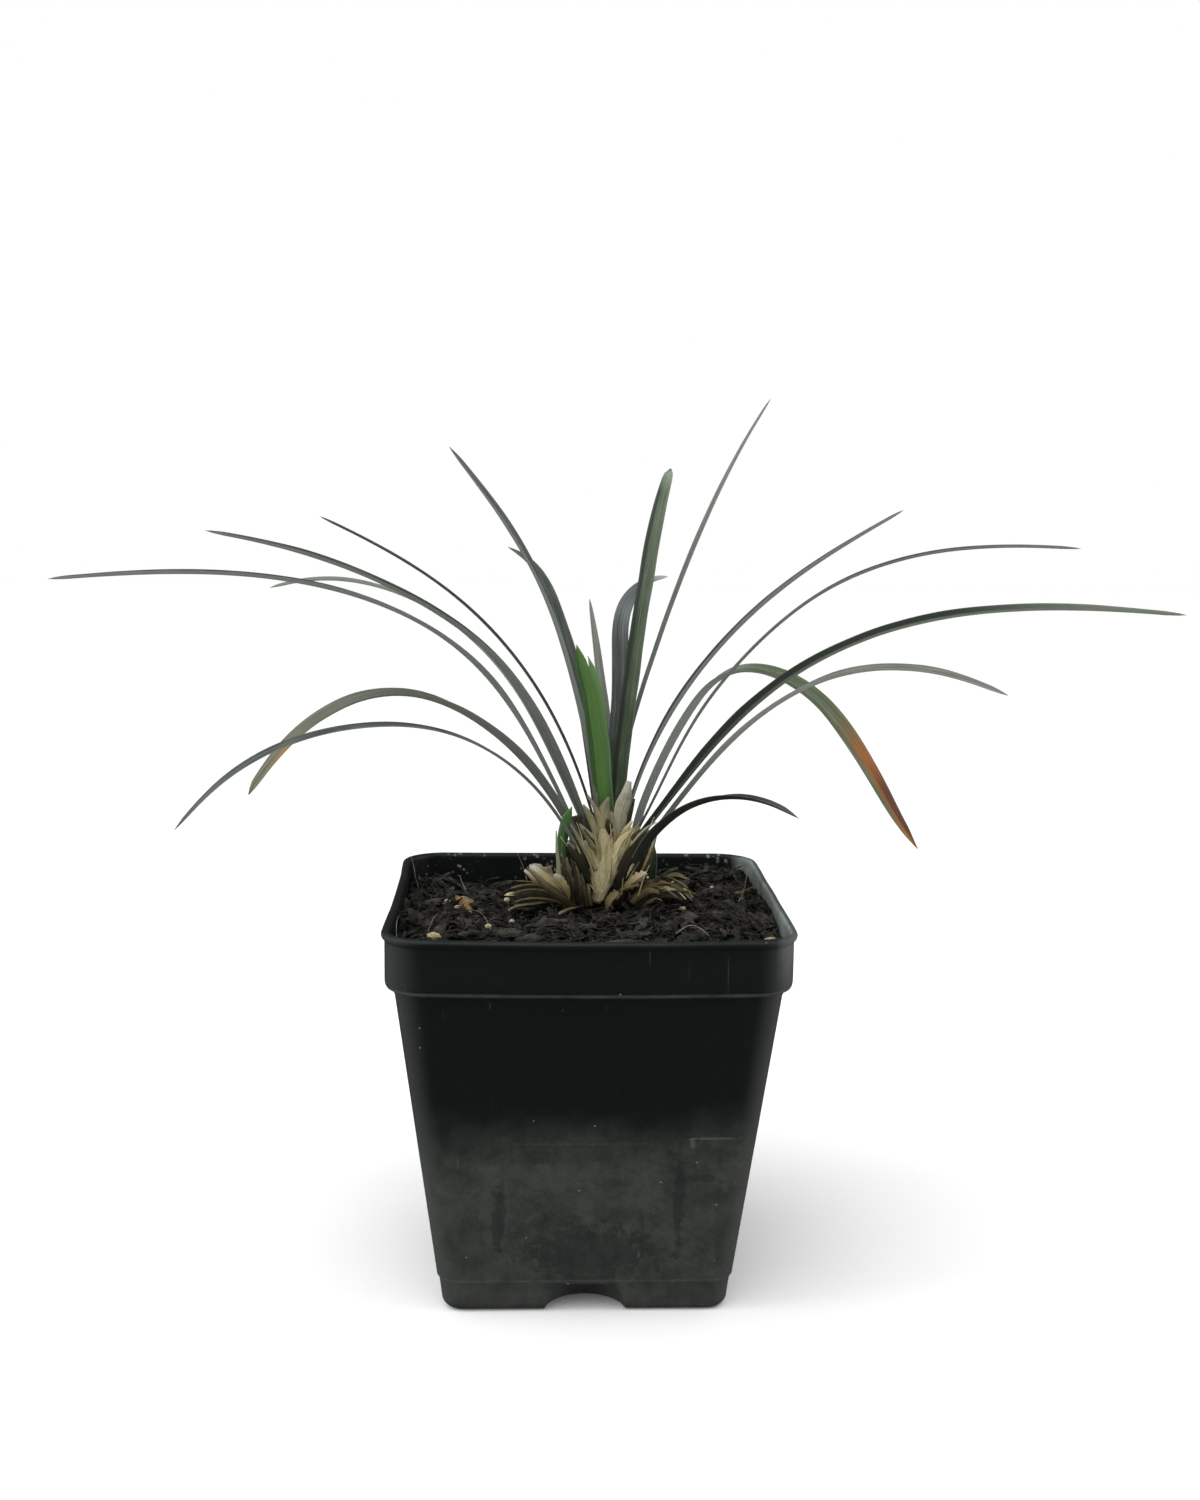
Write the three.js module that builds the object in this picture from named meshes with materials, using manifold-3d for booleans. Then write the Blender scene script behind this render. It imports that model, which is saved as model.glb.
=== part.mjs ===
// A mondo grass plant in its square nursery pot. Millimetres, +Z up.
// The origin is the middle of the pot's flat underside, and the pot's walls face X and Y.

import * as THREE from 'three';
import { mergeVertices } from 'three/addons/utils/BufferGeometryUtils.js';
import Module from 'manifold-3d';

const wasm = await Module();
wasm.setup();

const clearance = 0.3; // between pieces that touch

// The pot: a tapered square shell with a collar under its lip. Halves are half-widths.
const pot = {
  height: 99,
  wall: 1.1,
  floor: 1.6,
  footHalf: 35.9,
  footCorner: 5.3,
  footRounding: 2.6,
  stepHeight: 8.6, // a fine stacking step runs round here
  stepDepth: 0.4,
  shoulderHeight: 85, // the collar starts here
  shoulderHalf: 47,
  shoulderCorner: 8.2,
  collarHalf: 49.2,
  collarCorner: 10.6,
  lipHalf: 50,
  lipBead: 1.6,
};

// How far the middle of each side stands out at the lip: back, left, front and right.
const lipBow = [0, -0.6, 1.6, 0];

// The drainage recess at the middle of each side of the foot, and the slot in its ceiling.
const recess = {
  halfWidth: 10.5,
  topHalfWidth: 7.4,
  depth: 10.6,
  topDepth: 8.6,
  height: 7.7,
  slotLength: 9,
  slotWidth: 2.4,
};

// The soil's level, and the mounds and dips on it as [x, y, radius, height].
const soilLevel = 93.2;
const soilMounds = [
  [4, 5, 16, 1.9],
  [46, -4, 22, 3.4],
  [40, 44, 11, 2.2],
  [-22, 38, 20, -4.2],
  [4, 44, 14, -1.4],
  [-44, -6, 14, 1.2],
];
const barkChips = 26;

// The crown, as level sections [x, y, z, half-width, half-depth], from the stub up to its dome.
const crownSections = [
  [4, 5.5, 72, 1.6, 1.6],
  [4, 5.5, 77, 3.4, 3.2],
  [4, 5.6, 85, 4.6, 4.6],
  [4.2, 6.2, 92, 6.6, 7.4],
  [4.6, 6.8, 97, 7.8, 9.2],
  [5.8, 7.2, 103, 8.8, 10],
  [6.8, 7.8, 108, 8.2, 9.6],
  [7, 8.4, 113, 6, 8],
  [7, 8.6, 117, 2.4, 4],
];

// The main roots: where each leaves the stub, the way it spreads and how far out and down it runs.
const roots = { count: 6, radius: 1.1, height: 82, reach: 24, drop: 34 };

const leafThickness = 0.7;
const leafFold = 0.2; // how far its edges rise above its keel, as a share of its half-width
const sheathThickness = 0.7;
const stationSpacing = 10; // along a leaf

// The strap leaves. Each leaves the crown at its foot and arches towards its heading (degrees
// from +X). lean is its slope from upright at even steps from foot to tip, and roll is how far
// it is turned about its own length at its foot and its tip. It starts sunk a little below its foot,
// and a papery sheath stands against its first stretch.
const leaves = [
  { name: 'leaf_01', foot: [-0.5, 5.5, 109.5], heading: 190, lean: [23, 34, 67, 87, 95], length: 167,
    width: 4, roll: [10, -10], sheath: 13, color: '#4d5852' },
  { name: 'leaf_02', foot: [2, 3.6, 108.5], heading: 201, lean: [22, 26, 52, 69, 80], length: 139,
    width: 5, roll: [-15, -10], sheath: 11, color: '#3f4a47' },
  { name: 'leaf_03', foot: [3.4, 9.9, 111], heading: 160, lean: [17, 27, 46, 59, 70], length: 121,
    width: 4, roll: [12, 0], sheath: 12, color: '#3d4744' },
  { name: 'leaf_04', foot: [2, 12.4, 109.5], heading: 147, lean: [28, 34, 59, 83, 104], length: 141,
    width: 4.2, roll: [2, 15], sheath: 10, color: '#6a756f' },
  { name: 'leaf_05', foot: [1.2, 1.6, 107], heading: 204, lean: [26, 41, 66, 114, 145], length: 118,
    width: 5.4, roll: [20, -25], sunk: 6, sheath: 12, color: '#6f7560' },
  { name: 'leaf_06', foot: [-0.3, -3.2, 107], heading: 216, lean: [29, 51, 80, 104, 135], length: 135,
    width: 4, roll: [5, -10], sunk: 9, sheath: 10, color: '#4c5650' },
  { name: 'leaf_07', foot: [3, 3.5, 113], heading: 172, lean: [14, 12, 16, 31, 38], length: 110,
    width: 4.6, roll: [29, -20], sheath: 9, color: '#48534f' },
  { name: 'leaf_08', foot: [4.8, 7.5, 110.5], heading: 137, lean: [17, 16, 18, 22, 70], length: 87,
    width: 5, roll: [-13, 0], sheath: 9, color: '#414c48' },
  { name: 'leaf_09', foot: [8.4, 17, 113], heading: 105, lean: [6, 11, 18, 42, 41], length: 67,
    width: 3.4, roll: [1, 0], sheath: 8, color: '#5f6d62' },
  { name: 'leaf_10', foot: [7.2, 14.8, 113], heading: 56, lean: [6, 5, 7, 7, 0, 2, 54, 78, 88], length: 84,
    width: 4.6, roll: [6, 20], sheath: 8, color: '#5c6467' },
  { name: 'leaf_11', foot: [8.6, 7.4, 109], heading: 45, lean: [5, 9, 10, 14, 21], length: 102,
    width: 4.6, roll: [20, 12], taperFrom: 0.85, sheath: 14, color: '#515e49' },
  { name: 'leaf_12', foot: [9, 10.9, 115.6], heading: 32, lean: [3, 19, 24, 30, 38], length: 124,
    width: 3.4, roll: [-22, -34], sheath: 9, color: '#55615b' },
  { name: 'leaf_13', foot: [10.8, 12.2, 108.5], heading: 18, lean: [15, 24, 46, 57, 64], length: 126,
    width: 4.4, roll: [-17, -10], sheath: 16, color: '#58625f' },
  { name: 'leaf_14', foot: [12.1, 3.9, 111.5], heading: -32, lean: [35, 30, 52, 74, 91], length: 150,
    width: 4.2, roll: [20, 6], sheath: 8, color: '#505b56' },
  { name: 'leaf_15', foot: [11.7, 1.8, 109.5], heading: -37, lean: [38, 43, 64, 83, 92], length: 166,
    width: 5.2, roll: [-3, -15], sheath: 9, color: '#3c4740' },
  { name: 'leaf_16', foot: [13.5, 9.7, 110.5], heading: -29, lean: [20, 29, 29, 89, 140, 140, 143],
    length: 124, width: 5.6, roll: [-9, 35], sheath: 10, color: '#5d6850' },
  { name: 'leaf_17', foot: [16.4, 1.9, 112], heading: -45, lean: [40, 44, 60, 85, 106], length: 123,
    width: 4.4, roll: [10, 15], sunk: 9, sheath: 8, color: '#7b857f' },
  { name: 'leaf_18', foot: [9.5, -2, 100], heading: -34, lean: [26, 37, 61, 89, 114], length: 63,
    width: 4.6, roll: [-25, 5], sunk: 5, sheath: 12, color: '#2e322c' },
];

// The two bright young leaves that stand up in the middle.
const youngLeaves = [
  { name: 'young_leaf_1', foot: [4.6, 3.9, 116], heading: 238, lean: [13, 10, 15, 23, 25], length: 51,
    width: 4.4, roll: [-1, 0], taperFrom: 0.55, color: '#4a7229' },
  { name: 'young_leaf_2', foot: [6.7, 5.8, 115.5], heading: 215, lean: [6, 5, 8, 11, 19], length: 46,
    width: 4.2, roll: [-24, -25], taperFrom: 0.6, color: '#5f8a4a' },
];

// The short green shoots that come up through the soil beside the crown.
const shoots = [
  { name: 'shoot_left', foot: [-7, -4.3, 107], heading: -11, lean: [1, 3, 6, 15, 22], length: 16,
    width: 3, roll: [-60, -61], sunk: 15, color: '#3f6a33' },
  { name: 'shoot_right', foot: [18.3, 8.6, 99.5], heading: 60, lean: [4, 4, 5, 6, 6], length: 10,
    width: 2.6, roll: [0, 0], sunk: 8, color: '#46664a' },
];

// Old dry sheaths and leaf bases that lie round the crown on the soil.
const dryPieces = [
  { name: 'dry_flake', foot: [-4.5, 1.6, 99], heading: 197, lean: [66, 56, 44], length: 13,
    width: 6.5, roll: [-20, -30], sunk: 5, fold: 0.5, taperFrom: 0.8, color: '#b3a27c' },
  { name: 'dry_blade_1', foot: [-3.6, 9, 96.4], heading: 142, lean: [78, 90, 96], length: 20,
    width: 2.6, roll: [0, 10], sunk: 3, color: '#4a4230' },
  { name: 'dry_blade_2', foot: [-4.4, 5, 96.1], heading: 172, lean: [80, 90, 97], length: 17,
    width: 2.8, roll: [0, -10], sunk: 3, color: '#5e553d' },
  { name: 'dry_blade_3', foot: [-3.9, 0.4, 95.8], heading: 200, lean: [82, 90, 96], length: 16,
    width: 2.4, roll: [10, 0], sunk: 3, color: '#3f3828' },
  { name: 'dry_blade_4', foot: [0.4, -2.8, 96], heading: 232, lean: [82, 90, 98], length: 12,
    width: 2.4, roll: [0, 15], sunk: 3, color: '#55492f' },
  { name: 'dry_curl_1', foot: [13, 10.6, 97.6], heading: 22, lean: [72, 84, 112], length: 18,
    width: 3.2, roll: [-20, 20], sunk: 3, fold: 0.4, color: '#6b6045' },
  { name: 'dry_curl_2', foot: [13, 2.2, 97], heading: 6, lean: [76, 86, 108], length: 17,
    width: 3.6, roll: [20, -10], sunk: 2, fold: 0.4, color: '#7a6c4c' },
];
const dryThickness = 0.6;

// A thin dark twig that leans out of the soil beside the crown, and a seed husk on the soil.
const twig = {
  points: [[15.2, 4.2, 91.5], [16.8, 5.4, 97.5], [20.5, 7.4, 101.6], [25, 10, 103.2]],
  radius: 0.6,
};
const husk = { x: -31.5, y: 13, length: 7, width: 3.6, height: 1.8, heading: 115 };

const degrees = THREE.MathUtils.degToRad;
const { clamp, lerp, smoothstep } = THREE.MathUtils;

// Seeded random numbers from 0 to 1.
function seededRandom(seed) {
  let state = seed;
  return () => {
    state = (state * 1664525 + 1013904223) % 4294967296;
    return state / 4294967296;
  };
}

// Joins rings of equally many points into a closed solid. Its ends are the triangles of cap, or
// a fan round the middle. From side flipFrom on, the four-sided faces are split the other way.
function loft(rings, cap = null, flipFrom = Infinity) {
  const sides = rings[0].length;
  const points = rings.flat();
  const lastRing = points.length - sides;
  const index = [];
  for (let i = 0; i < lastRing; i += sides) {
    for (let j = 0; j < sides; j += 1) {
      const a = i + j;
      const b = i + ((j + 1) % sides);
      if (j < flipFrom) index.push(a, b, b + sides, a, b + sides, a + sides);
      else index.push(a, b, a + sides, b, b + sides, a + sides);
    }
  }
  const triangles = cap ?? rings[0].map((_, j) => [j, (j + 1) % sides, null]);
  const firstCentre = points.push(centreOf(rings[0])) - 1;
  const lastCentre = points.push(centreOf(rings[rings.length - 1])) - 1;
  for (const [a, b, c] of triangles) {
    index.push(b, a, c ?? firstCentre);
    index.push(lastRing + a, lastRing + b, c === null ? lastCentre : lastRing + c);
  }
  return geometryFrom(points, index);
}

function centreOf(ring) {
  const sum = ring.reduce((total, point) => total.add(point), new THREE.Vector3());
  return sum.divideScalar(ring.length);
}

function geometryFrom(points, index) {
  const geometry = new THREE.BufferGeometry();
  const positions = points.flatMap((point) => point.toArray());
  geometry.setAttribute('position', new THREE.Float32BufferAttribute(positions, 3));
  geometry.setIndex(index);
  return geometry;
}

function solidFrom(geometry) {
  const bare = geometry.clone();
  bare.deleteAttribute('normal');
  bare.deleteAttribute('uv');
  const merged = mergeVertices(bare);
  const vertProperties = new Float32Array(merged.getAttribute('position').array);
  const triVerts = new Uint32Array(merged.getIndex().array);
  return new wasm.Manifold(new wasm.Mesh({ numProp: 3, vertProperties, triVerts }));
}

// The largest body of a solid, as a geometry: a scrap that a cut leaves loose is dropped.
function geometryOf(solid) {
  const [largest] = solid.decompose().sort((a, b) => b.volume() - a.volume());
  const { vertProperties, triVerts } = largest.getMesh();
  const geometry = new THREE.BufferGeometry();
  geometry.setAttribute('position', new THREE.BufferAttribute(new Float32Array(vertProperties), 3));
  geometry.setIndex(new THREE.BufferAttribute(new Uint32Array(triVerts), 1));
  return geometry;
}

const join = (solids) => solids.reduce((whole, solid) => whole.add(solid));
const cut = (solid, cutters) => cutters.reduce((rest, cutter) => rest.subtract(cutter), solid);

// One turn round a square with rounded corners. Its sides bow out as the lip's do at height z.
function squareRing(half, corner, z, cornerSteps = 5, sideSteps = 5) {
  const flat = half - corner;
  return lipBow.flatMap((bow, side) => {
    const points = [];
    for (let k = 0; k <= cornerSteps; k += 1) {
      const angle = (k / cornerSteps) * (Math.PI / 2);
      points.push([flat + corner * Math.cos(angle), flat + corner * Math.sin(angle)]);
    }
    for (let k = 1; k < sideSteps; k += 1) {
      const along = 1 - (2 * k) / sideSteps;
      points.push([flat * along, half + bow * (z / pot.height) ** 2 * (1 - along * along)]);
    }
    return points.map(([x, y]) => turned(new THREE.Vector3(x, y, z), side * 90));
  });
}

function ellipseRing(x, y, z, halfWidth, halfDepth, sides = 14) {
  return Array.from({ length: sides }, (_, k) => {
    const angle = (k / sides) * 2 * Math.PI;
    return new THREE.Vector3(x + halfWidth * Math.cos(angle), y + halfDepth * Math.sin(angle), z);
  });
}

function turned(point, angle) {
  return point.applyAxisAngle(new THREE.Vector3(0, 0, 1), degrees(angle));
}

// The outside of the pot's wall below its shoulder.
const wallHalf = (z) => lerp(pot.footHalf, pot.shoulderHalf, z / pot.shoulderHeight);
const wallCorner = (z) => lerp(pot.footCorner, pot.shoulderCorner, z / pot.shoulderHeight);

function potOutside() {
  const rings = [];
  const rounding = pot.footRounding;
  for (let k = 0; k <= 3; k += 1) {
    const angle = degrees(30 * k);
    const z = rounding * (1 - Math.cos(angle));
    const inset = rounding * (1 - Math.sin(angle));
    rings.push(squareRing(wallHalf(z) - pot.stepDepth - inset, wallCorner(z) - inset, z));
  }
  for (const [z, depth] of [[pot.stepHeight - 0.2, pot.stepDepth], [pot.stepHeight + 0.2, 0]]) {
    rings.push(squareRing(wallHalf(z) - depth, wallCorner(z), z));
  }
  const under = pot.collarHalf - pot.shoulderHalf; // the collar's lower edge is rounded by this
  for (let k = 0; k <= 3; k += 1) {
    const angle = degrees(30 * k);
    const out = under * Math.sin(angle);
    const z = pot.shoulderHeight + under * (1 - Math.cos(angle));
    rings.push(squareRing(pot.shoulderHalf + out, lerp(pot.shoulderCorner, pot.collarCorner, k / 3), z));
  }
  const bead = pot.lipHalf - pot.collarHalf;
  const lip = [[0, 2.4], [bead * 0.7, 1.8], [bead, 1.1], [bead, 0.6], [bead * 0.6, 0.15], [0, 0]];
  for (const [out, below] of lip) {
    rings.push(squareRing(pot.collarHalf + out, pot.collarCorner + out, pot.height - below));
  }
  return solidFrom(loft(rings));
}

// The rings of the pot's inside, or of what fills it with a gap all round, up to the collar.
function insideRings(gap, cornerSteps, sideSteps) {
  const ring = (half, corner, z) => squareRing(half - gap, corner - gap, z + gap, cornerSteps, sideSteps);
  const low = pot.floor;
  const ledge = pot.shoulderHeight + pot.wall;
  const bodyHalf = (z) => wallHalf(z) - pot.wall;
  const bodyCorner = (z) => wallCorner(z) - pot.wall;
  return [
    ring(bodyHalf(low) - 1.6, bodyCorner(low) - 1.6, low),
    ring(bodyHalf(low) - 0.4, bodyCorner(low) - 0.4, low + 0.6),
    ring(bodyHalf(low + 2), bodyCorner(low + 2), low + 2),
    ring(bodyHalf(ledge), bodyCorner(ledge), ledge),
    ring(pot.shoulderHalf, bodyCorner(ledge) + 1, ledge),
    ring(pot.collarHalf - pot.wall, pot.collarCorner - pot.wall, ledge + pot.wall),
  ];
}

function potInside() {
  const collarInside = pot.collarHalf - pot.wall;
  const collarInsideCorner = pot.collarCorner - pot.wall;
  return solidFrom(loft([
    ...insideRings(0),
    squareRing(collarInside, collarInsideCorner, pot.height - 1.2),
    squareRing(collarInside + 0.2, collarInsideCorner + 0.2, pot.height - 0.4),
    squareRing(collarInside + 0.7, collarInsideCorner + 0.7, pot.height + 0.4),
  ]));
}

// The hollow of one drainage recess. With growth it is the boss round it, inside the pot.
function recessSolid(side, growth = 0) {
  const sections = [[-1, 0], [3.5, 0.4], [recess.height - 0.8, 0.9], [recess.height, 1.15]];
  const rings = sections.map(([z, narrowing]) => {
    const halfWidth = lerp(recess.halfWidth, recess.topHalfWidth, narrowing) + growth;
    const depth = lerp(recess.depth, recess.topDepth, narrowing) + growth;
    const height = z < 0 ? z : z + growth;
    return ellipseRing(0, -pot.footHalf, height, halfWidth, depth, 16).map((point) => turned(point, side * 90));
  });
  return solidFrom(loft(rings));
}

function drainSlot(side) {
  const radius = recess.slotWidth / 2;
  const reach = recess.slotLength / 2 - radius;
  const outline = new THREE.Shape();
  outline.absarc(reach, 0, radius, -Math.PI / 2, Math.PI / 2);
  outline.absarc(-reach, 0, radius, Math.PI / 2, (3 * Math.PI) / 2);
  const geometry = new THREE.ExtrudeGeometry(outline, { depth: 6, bevelEnabled: false, curveSegments: 6 });
  geometry.translate(0, -pot.footHalf + recess.topDepth * 0.55, recess.height - 2);
  geometry.rotateZ(degrees(side * 90));
  return solidFrom(geometry);
}

function potSolid() {
  const sides = [0, 1, 2, 3];
  const inside = cut(potInside(), sides.map((side) => recessSolid(side, pot.wall)));
  const hollows = sides.flatMap((side) => [recessSolid(side), drainSlot(side)]);
  return cut(potOutside(), [inside, ...hollows]);
}

// The soil's surface: level ground with mounds and dips, and lumps a few millimetres across.
function soilHeight(x, y) {
  const mounds = soilMounds.reduce((sum, [mx, my, radius, height]) => {
    const away = ((x - mx) ** 2 + (y - my) ** 2) / radius ** 2;
    return sum + height * Math.exp(-away);
  }, 0);
  const lumps = 0.5 * Math.sin(0.55 * x + 1.1) * Math.sin(0.62 * y) + 0.35 * Math.sin(1.25 * x - 0.85 * y);
  return soilLevel + mounds + lumps;
}

function soilBlock() {
  const random = seededRandom(11);
  const rings = insideRings(clearance, 4, 9);
  const half = pot.collarHalf - pot.wall - clearance;
  const corner = pot.collarCorner - pot.wall - clearance;
  const turns = 14;
  for (let k = turns; k >= 1; k -= 1) {
    const scale = k / turns - (k === 1 ? 0.03 : 0);
    const ring = squareRing(half * scale, corner * scale, soilLevel, 4, 9);
    const crumble = k === turns ? 0 : 0.4;
    rings.push(ring.map((point) => point.setZ(soilHeight(point.x, point.y) + crumble * (random() - 0.5))));
  }
  return solidFrom(loft(rings));
}

// Flat chips of bark, sunk to about half their thickness in the surface.
function barkChipSolids() {
  const random = seededRandom(5);
  const between = (low, high) => low + (high - low) * random();
  const chips = [];
  while (chips.length < barkChips) {
    const x = between(-40, 40);
    const y = between(-40, 40);
    const size = [between(3.5, 9), between(2, 4.5), between(1.2, 2.2)];
    const turns = [between(-18, 18), between(-18, 18), between(0, 360)];
    if (Math.hypot(x - 5, y - 5) < 15) continue; // the crown's own ground stays clear
    const chip = new THREE.IcosahedronGeometry(0.6, 0);
    chip.scale(...size);
    chip.rotateX(degrees(turns[0])).rotateY(degrees(turns[1])).rotateZ(degrees(turns[2]));
    chip.translate(x, y, soilHeight(x, y) + 0.2);
    chips.push(solidFrom(chip));
  }
  return chips;
}

function tubeSolid(points, radius, sides = 6) {
  const path = new THREE.CatmullRomCurve3(points.map((point) => new THREE.Vector3(...point)));
  const section = new THREE.Shape(new THREE.Path().absarc(0, 0, radius, 0, 2 * Math.PI).getPoints(sides));
  return solidFrom(new THREE.ExtrudeGeometry(section, { steps: 6, extrudePath: path }));
}

// The core of the crown with its stub and roots, swollen all over by growth.
function rootstock(growth = 0) {
  const rings = crownSections.map(([x, y, z, halfWidth, halfDepth], k) => {
    const end = k === 0 ? -growth : 0;
    return ellipseRing(x, y, z + end, halfWidth + growth, halfDepth + growth);
  });
  const [x, y] = crownSections[0];
  const spreads = Array.from({ length: roots.count }, (_, k) => {
    const angle = degrees((360 / roots.count) * k + 20);
    const at = (out, down) => [x + out * Math.cos(angle), y + out * Math.sin(angle), roots.height - down];
    return [at(1, -1), at(7, 4), at(roots.reach * 0.6, roots.drop * 0.5), at(roots.reach + growth, roots.drop + growth)];
  });
  return join([solidFrom(loft(rings)), ...spreads.map((points) => tubeSolid(points, roots.radius + growth))]);
}

// The stations of a leaf between two shares of its length, each with its place and directions.
function leafLine(leaf, from, to, steps) {
  const leanCurve = new THREE.SplineCurve(leaf.lean.map((angle, k) => new THREE.Vector2(k, angle)));
  const heading = degrees(leaf.heading);
  const directions = (share) => {
    const within = clamp(share, 0, 1);
    const lean = degrees(leanCurve.getPoint(within).y);
    const along = new THREE.Vector3(0, 0, 1);
    along.applyAxisAngle(new THREE.Vector3(0, 1, 0), lean).applyAxisAngle(new THREE.Vector3(0, 0, 1), heading);
    const roll = degrees(lerp(leaf.roll[0], leaf.roll[1], within));
    const across = new THREE.Vector3(-Math.sin(heading), Math.cos(heading), 0).applyAxisAngle(along, roll);
    return { along, across, up: along.clone().cross(across) };
  };
  const pace = (to - from) / steps;
  const point = new THREE.Vector3(...leaf.foot).addScaledVector(directions(0).along, from * leaf.length);
  const stations = [{ share: from, point: point.clone(), ...directions(from) }];
  for (let k = 1; k <= steps; k += 1) {
    const share = from + pace * k;
    point.addScaledVector(directions(share - pace / 2).along, pace * leaf.length);
    stations.push({ share, point: point.clone(), ...directions(share) });
  }
  return stations;
}

// A strap that follows a line, keeled like a shallow V, swollen all over by growth.
const strapCap = [[0, 1, 2], [0, 2, 5], [2, 3, 4], [2, 4, 5]];

function strap(line, widthAt, thickness, fold, growth = 0) {
  const rings = line.map(({ share, point, along, across, up }, k) => {
    const end = (k === 0 ? -growth : 0) + (k === line.length - 1 ? growth : 0);
    const half = widthAt(share) / 2 + growth;
    const thick = thickness / 2 + growth;
    const at = (side, height) => point.clone().addScaledVector(along, end)
      .addScaledVector(across, side * half).addScaledVector(up, Math.abs(side) * fold * half + height);
    return [at(1, -thick), at(1, thick), at(0, thick), at(-1, thick), at(-1, -thick), at(0, -thick)];
  });
  return loft(rings, strapCap, 4);
}

// A leaf's width at a share of its length: it widens from its foot and tapers to a blunt tip.
function leafWidth(leaf, share) {
  const taperFrom = leaf.taperFrom ?? 0.6;
  const past = Math.max(0, share - taperFrom) / (1 - taperFrom);
  return leaf.width * lerp(0.6, 1, smoothstep(share, 0, 0.35)) * (1 - 0.78 * past * past);
}

const sunkLength = (leaf) => leaf.sunk ?? 4;

function leafStrap(leaf, thickness, growth = 0) {
  const sunk = sunkLength(leaf);
  const steps = Math.round((leaf.length + sunk) / stationSpacing) + 3;
  const line = leafLine(leaf, -sunk / leaf.length, 1, steps);
  return strap(line, (share) => leafWidth(leaf, share), thickness, leaf.fold ?? leafFold, growth);
}

// The papery scale under a leaf's foot: broad where it grows from the core, pointed at its top.
function sheathSolid(leaf, growth = 0) {
  const apart = leafThickness / 2 + clearance + sheathThickness / 2 + 0.05;
  const start = -(sunkLength(leaf) + 3) / leaf.length;
  const end = leaf.sheath / leaf.length;
  const line = leafLine(leaf, start, end, 4);
  for (const station of line) station.point.addScaledVector(station.up, -apart);
  const widthAt = (share) => lerp(6.4, 1.2, ((share - start) / (end - start)) ** 1.6);
  return solidFrom(strap(line, widthAt, sheathThickness, leafFold, growth));
}

function twigSolid(growth = 0) {
  const [[x, y, z], ...rest] = twig.points;
  return tubeSolid([[x, y, z - growth], ...rest], twig.radius + growth);
}

function huskSolid(growth = 0) {
  const husked = new THREE.SphereGeometry(0.5, 10, 6);
  husked.scale(husk.length + 2 * growth, husk.width + 2 * growth, husk.height + 2 * growth);
  husked.rotateZ(degrees(husk.heading));
  husked.translate(husk.x, husk.y, soilHeight(husk.x, husk.y) + husk.height * 0.4);
  return solidFrom(husked);
}

const plant = new THREE.Group();

function addNode(name, geometry, color, roughness) {
  const material = new THREE.MeshStandardMaterial({ color, roughness, metalness: 0, flatShading: true });
  const mesh = new THREE.Mesh(geometry, material);
  mesh.name = name;
  plant.add(mesh);
}

const blades = [
  ...[...leaves, ...youngLeaves, ...shoots].map((leaf) => ({ leaf, thickness: leafThickness, roughness: 0.45 })),
  ...dryPieces.map((leaf) => ({ leaf, thickness: dryThickness, roughness: 0.9 })),
];
const bladeRooms = blades.map(({ leaf, thickness }) => solidFrom(leafStrap(leaf, thickness, clearance)));
const twigRoom = twigSolid(clearance);

const soilRooms = [
  rootstock(clearance),
  ...[0, 1, 2, 3].map((side) => recessSolid(side, pot.wall + clearance)),
  ...leaves.map((leaf) => sheathSolid(leaf, clearance)),
  ...bladeRooms,
  twigRoom,
  huskSolid(clearance),
];

addNode('pot', geometryOf(potSolid()), '#141a1a', 0.5);
addNode('soil', geometryOf(cut(join([soilBlock(), ...barkChipSolids()]), soilRooms)), '#231e1a', 0.95);
const crown = join([rootstock(), ...leaves.map((leaf) => sheathSolid(leaf))]);
addNode('crown', geometryOf(cut(crown, [...bladeRooms, twigRoom])), '#a6976f', 0.9);
for (const { leaf, thickness, roughness } of blades) {
  addNode(leaf.name, leafStrap(leaf, thickness), leaf.color, roughness);
}
addNode('twig', geometryOf(twigSolid()), '#3a3326', 0.8);
addNode('husk', geometryOf(huskSolid()), '#6b5436', 0.85);

export default plant;
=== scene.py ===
import math
import random

import bpy
from mathutils import Matrix, Vector, noise


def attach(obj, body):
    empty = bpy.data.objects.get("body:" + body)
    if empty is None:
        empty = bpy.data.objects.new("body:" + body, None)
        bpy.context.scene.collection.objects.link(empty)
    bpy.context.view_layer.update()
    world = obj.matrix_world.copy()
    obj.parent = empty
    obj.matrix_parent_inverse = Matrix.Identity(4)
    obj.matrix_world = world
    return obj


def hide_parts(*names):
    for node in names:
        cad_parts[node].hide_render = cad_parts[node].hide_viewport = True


# A clump of mondo grass in its square nursery pot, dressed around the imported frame.
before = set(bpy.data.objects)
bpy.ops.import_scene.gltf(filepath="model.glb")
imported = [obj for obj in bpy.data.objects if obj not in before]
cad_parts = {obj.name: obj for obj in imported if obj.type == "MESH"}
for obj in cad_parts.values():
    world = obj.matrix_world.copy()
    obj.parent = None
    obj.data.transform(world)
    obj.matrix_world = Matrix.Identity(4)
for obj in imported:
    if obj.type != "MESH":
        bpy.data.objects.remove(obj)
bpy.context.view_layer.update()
mm = 0.001
scene = bpy.context.scene


def linear(hexColour):  # sRGB hex to the linear colour that shaders read
    channels = [int(hexColour[i:i + 2], 16) / 255 for i in (1, 3, 5)]
    return [c / 12.92 if c <= 0.04045 else ((c + 0.055) / 1.055) ** 2.4 for c in channels] + [1]


def setInputs(tree, node, inputs):  # an input takes a value, a socket or another node's result
    for socket, value in inputs.items():
        if isinstance(value, bpy.types.Node):
            value = next(output for output in value.outputs if output.enabled)
        if isinstance(value, bpy.types.NodeSocket):
            tree.links.new(value, node.inputs[socket])
        else:
            node.inputs[socket].default_value = value


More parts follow.
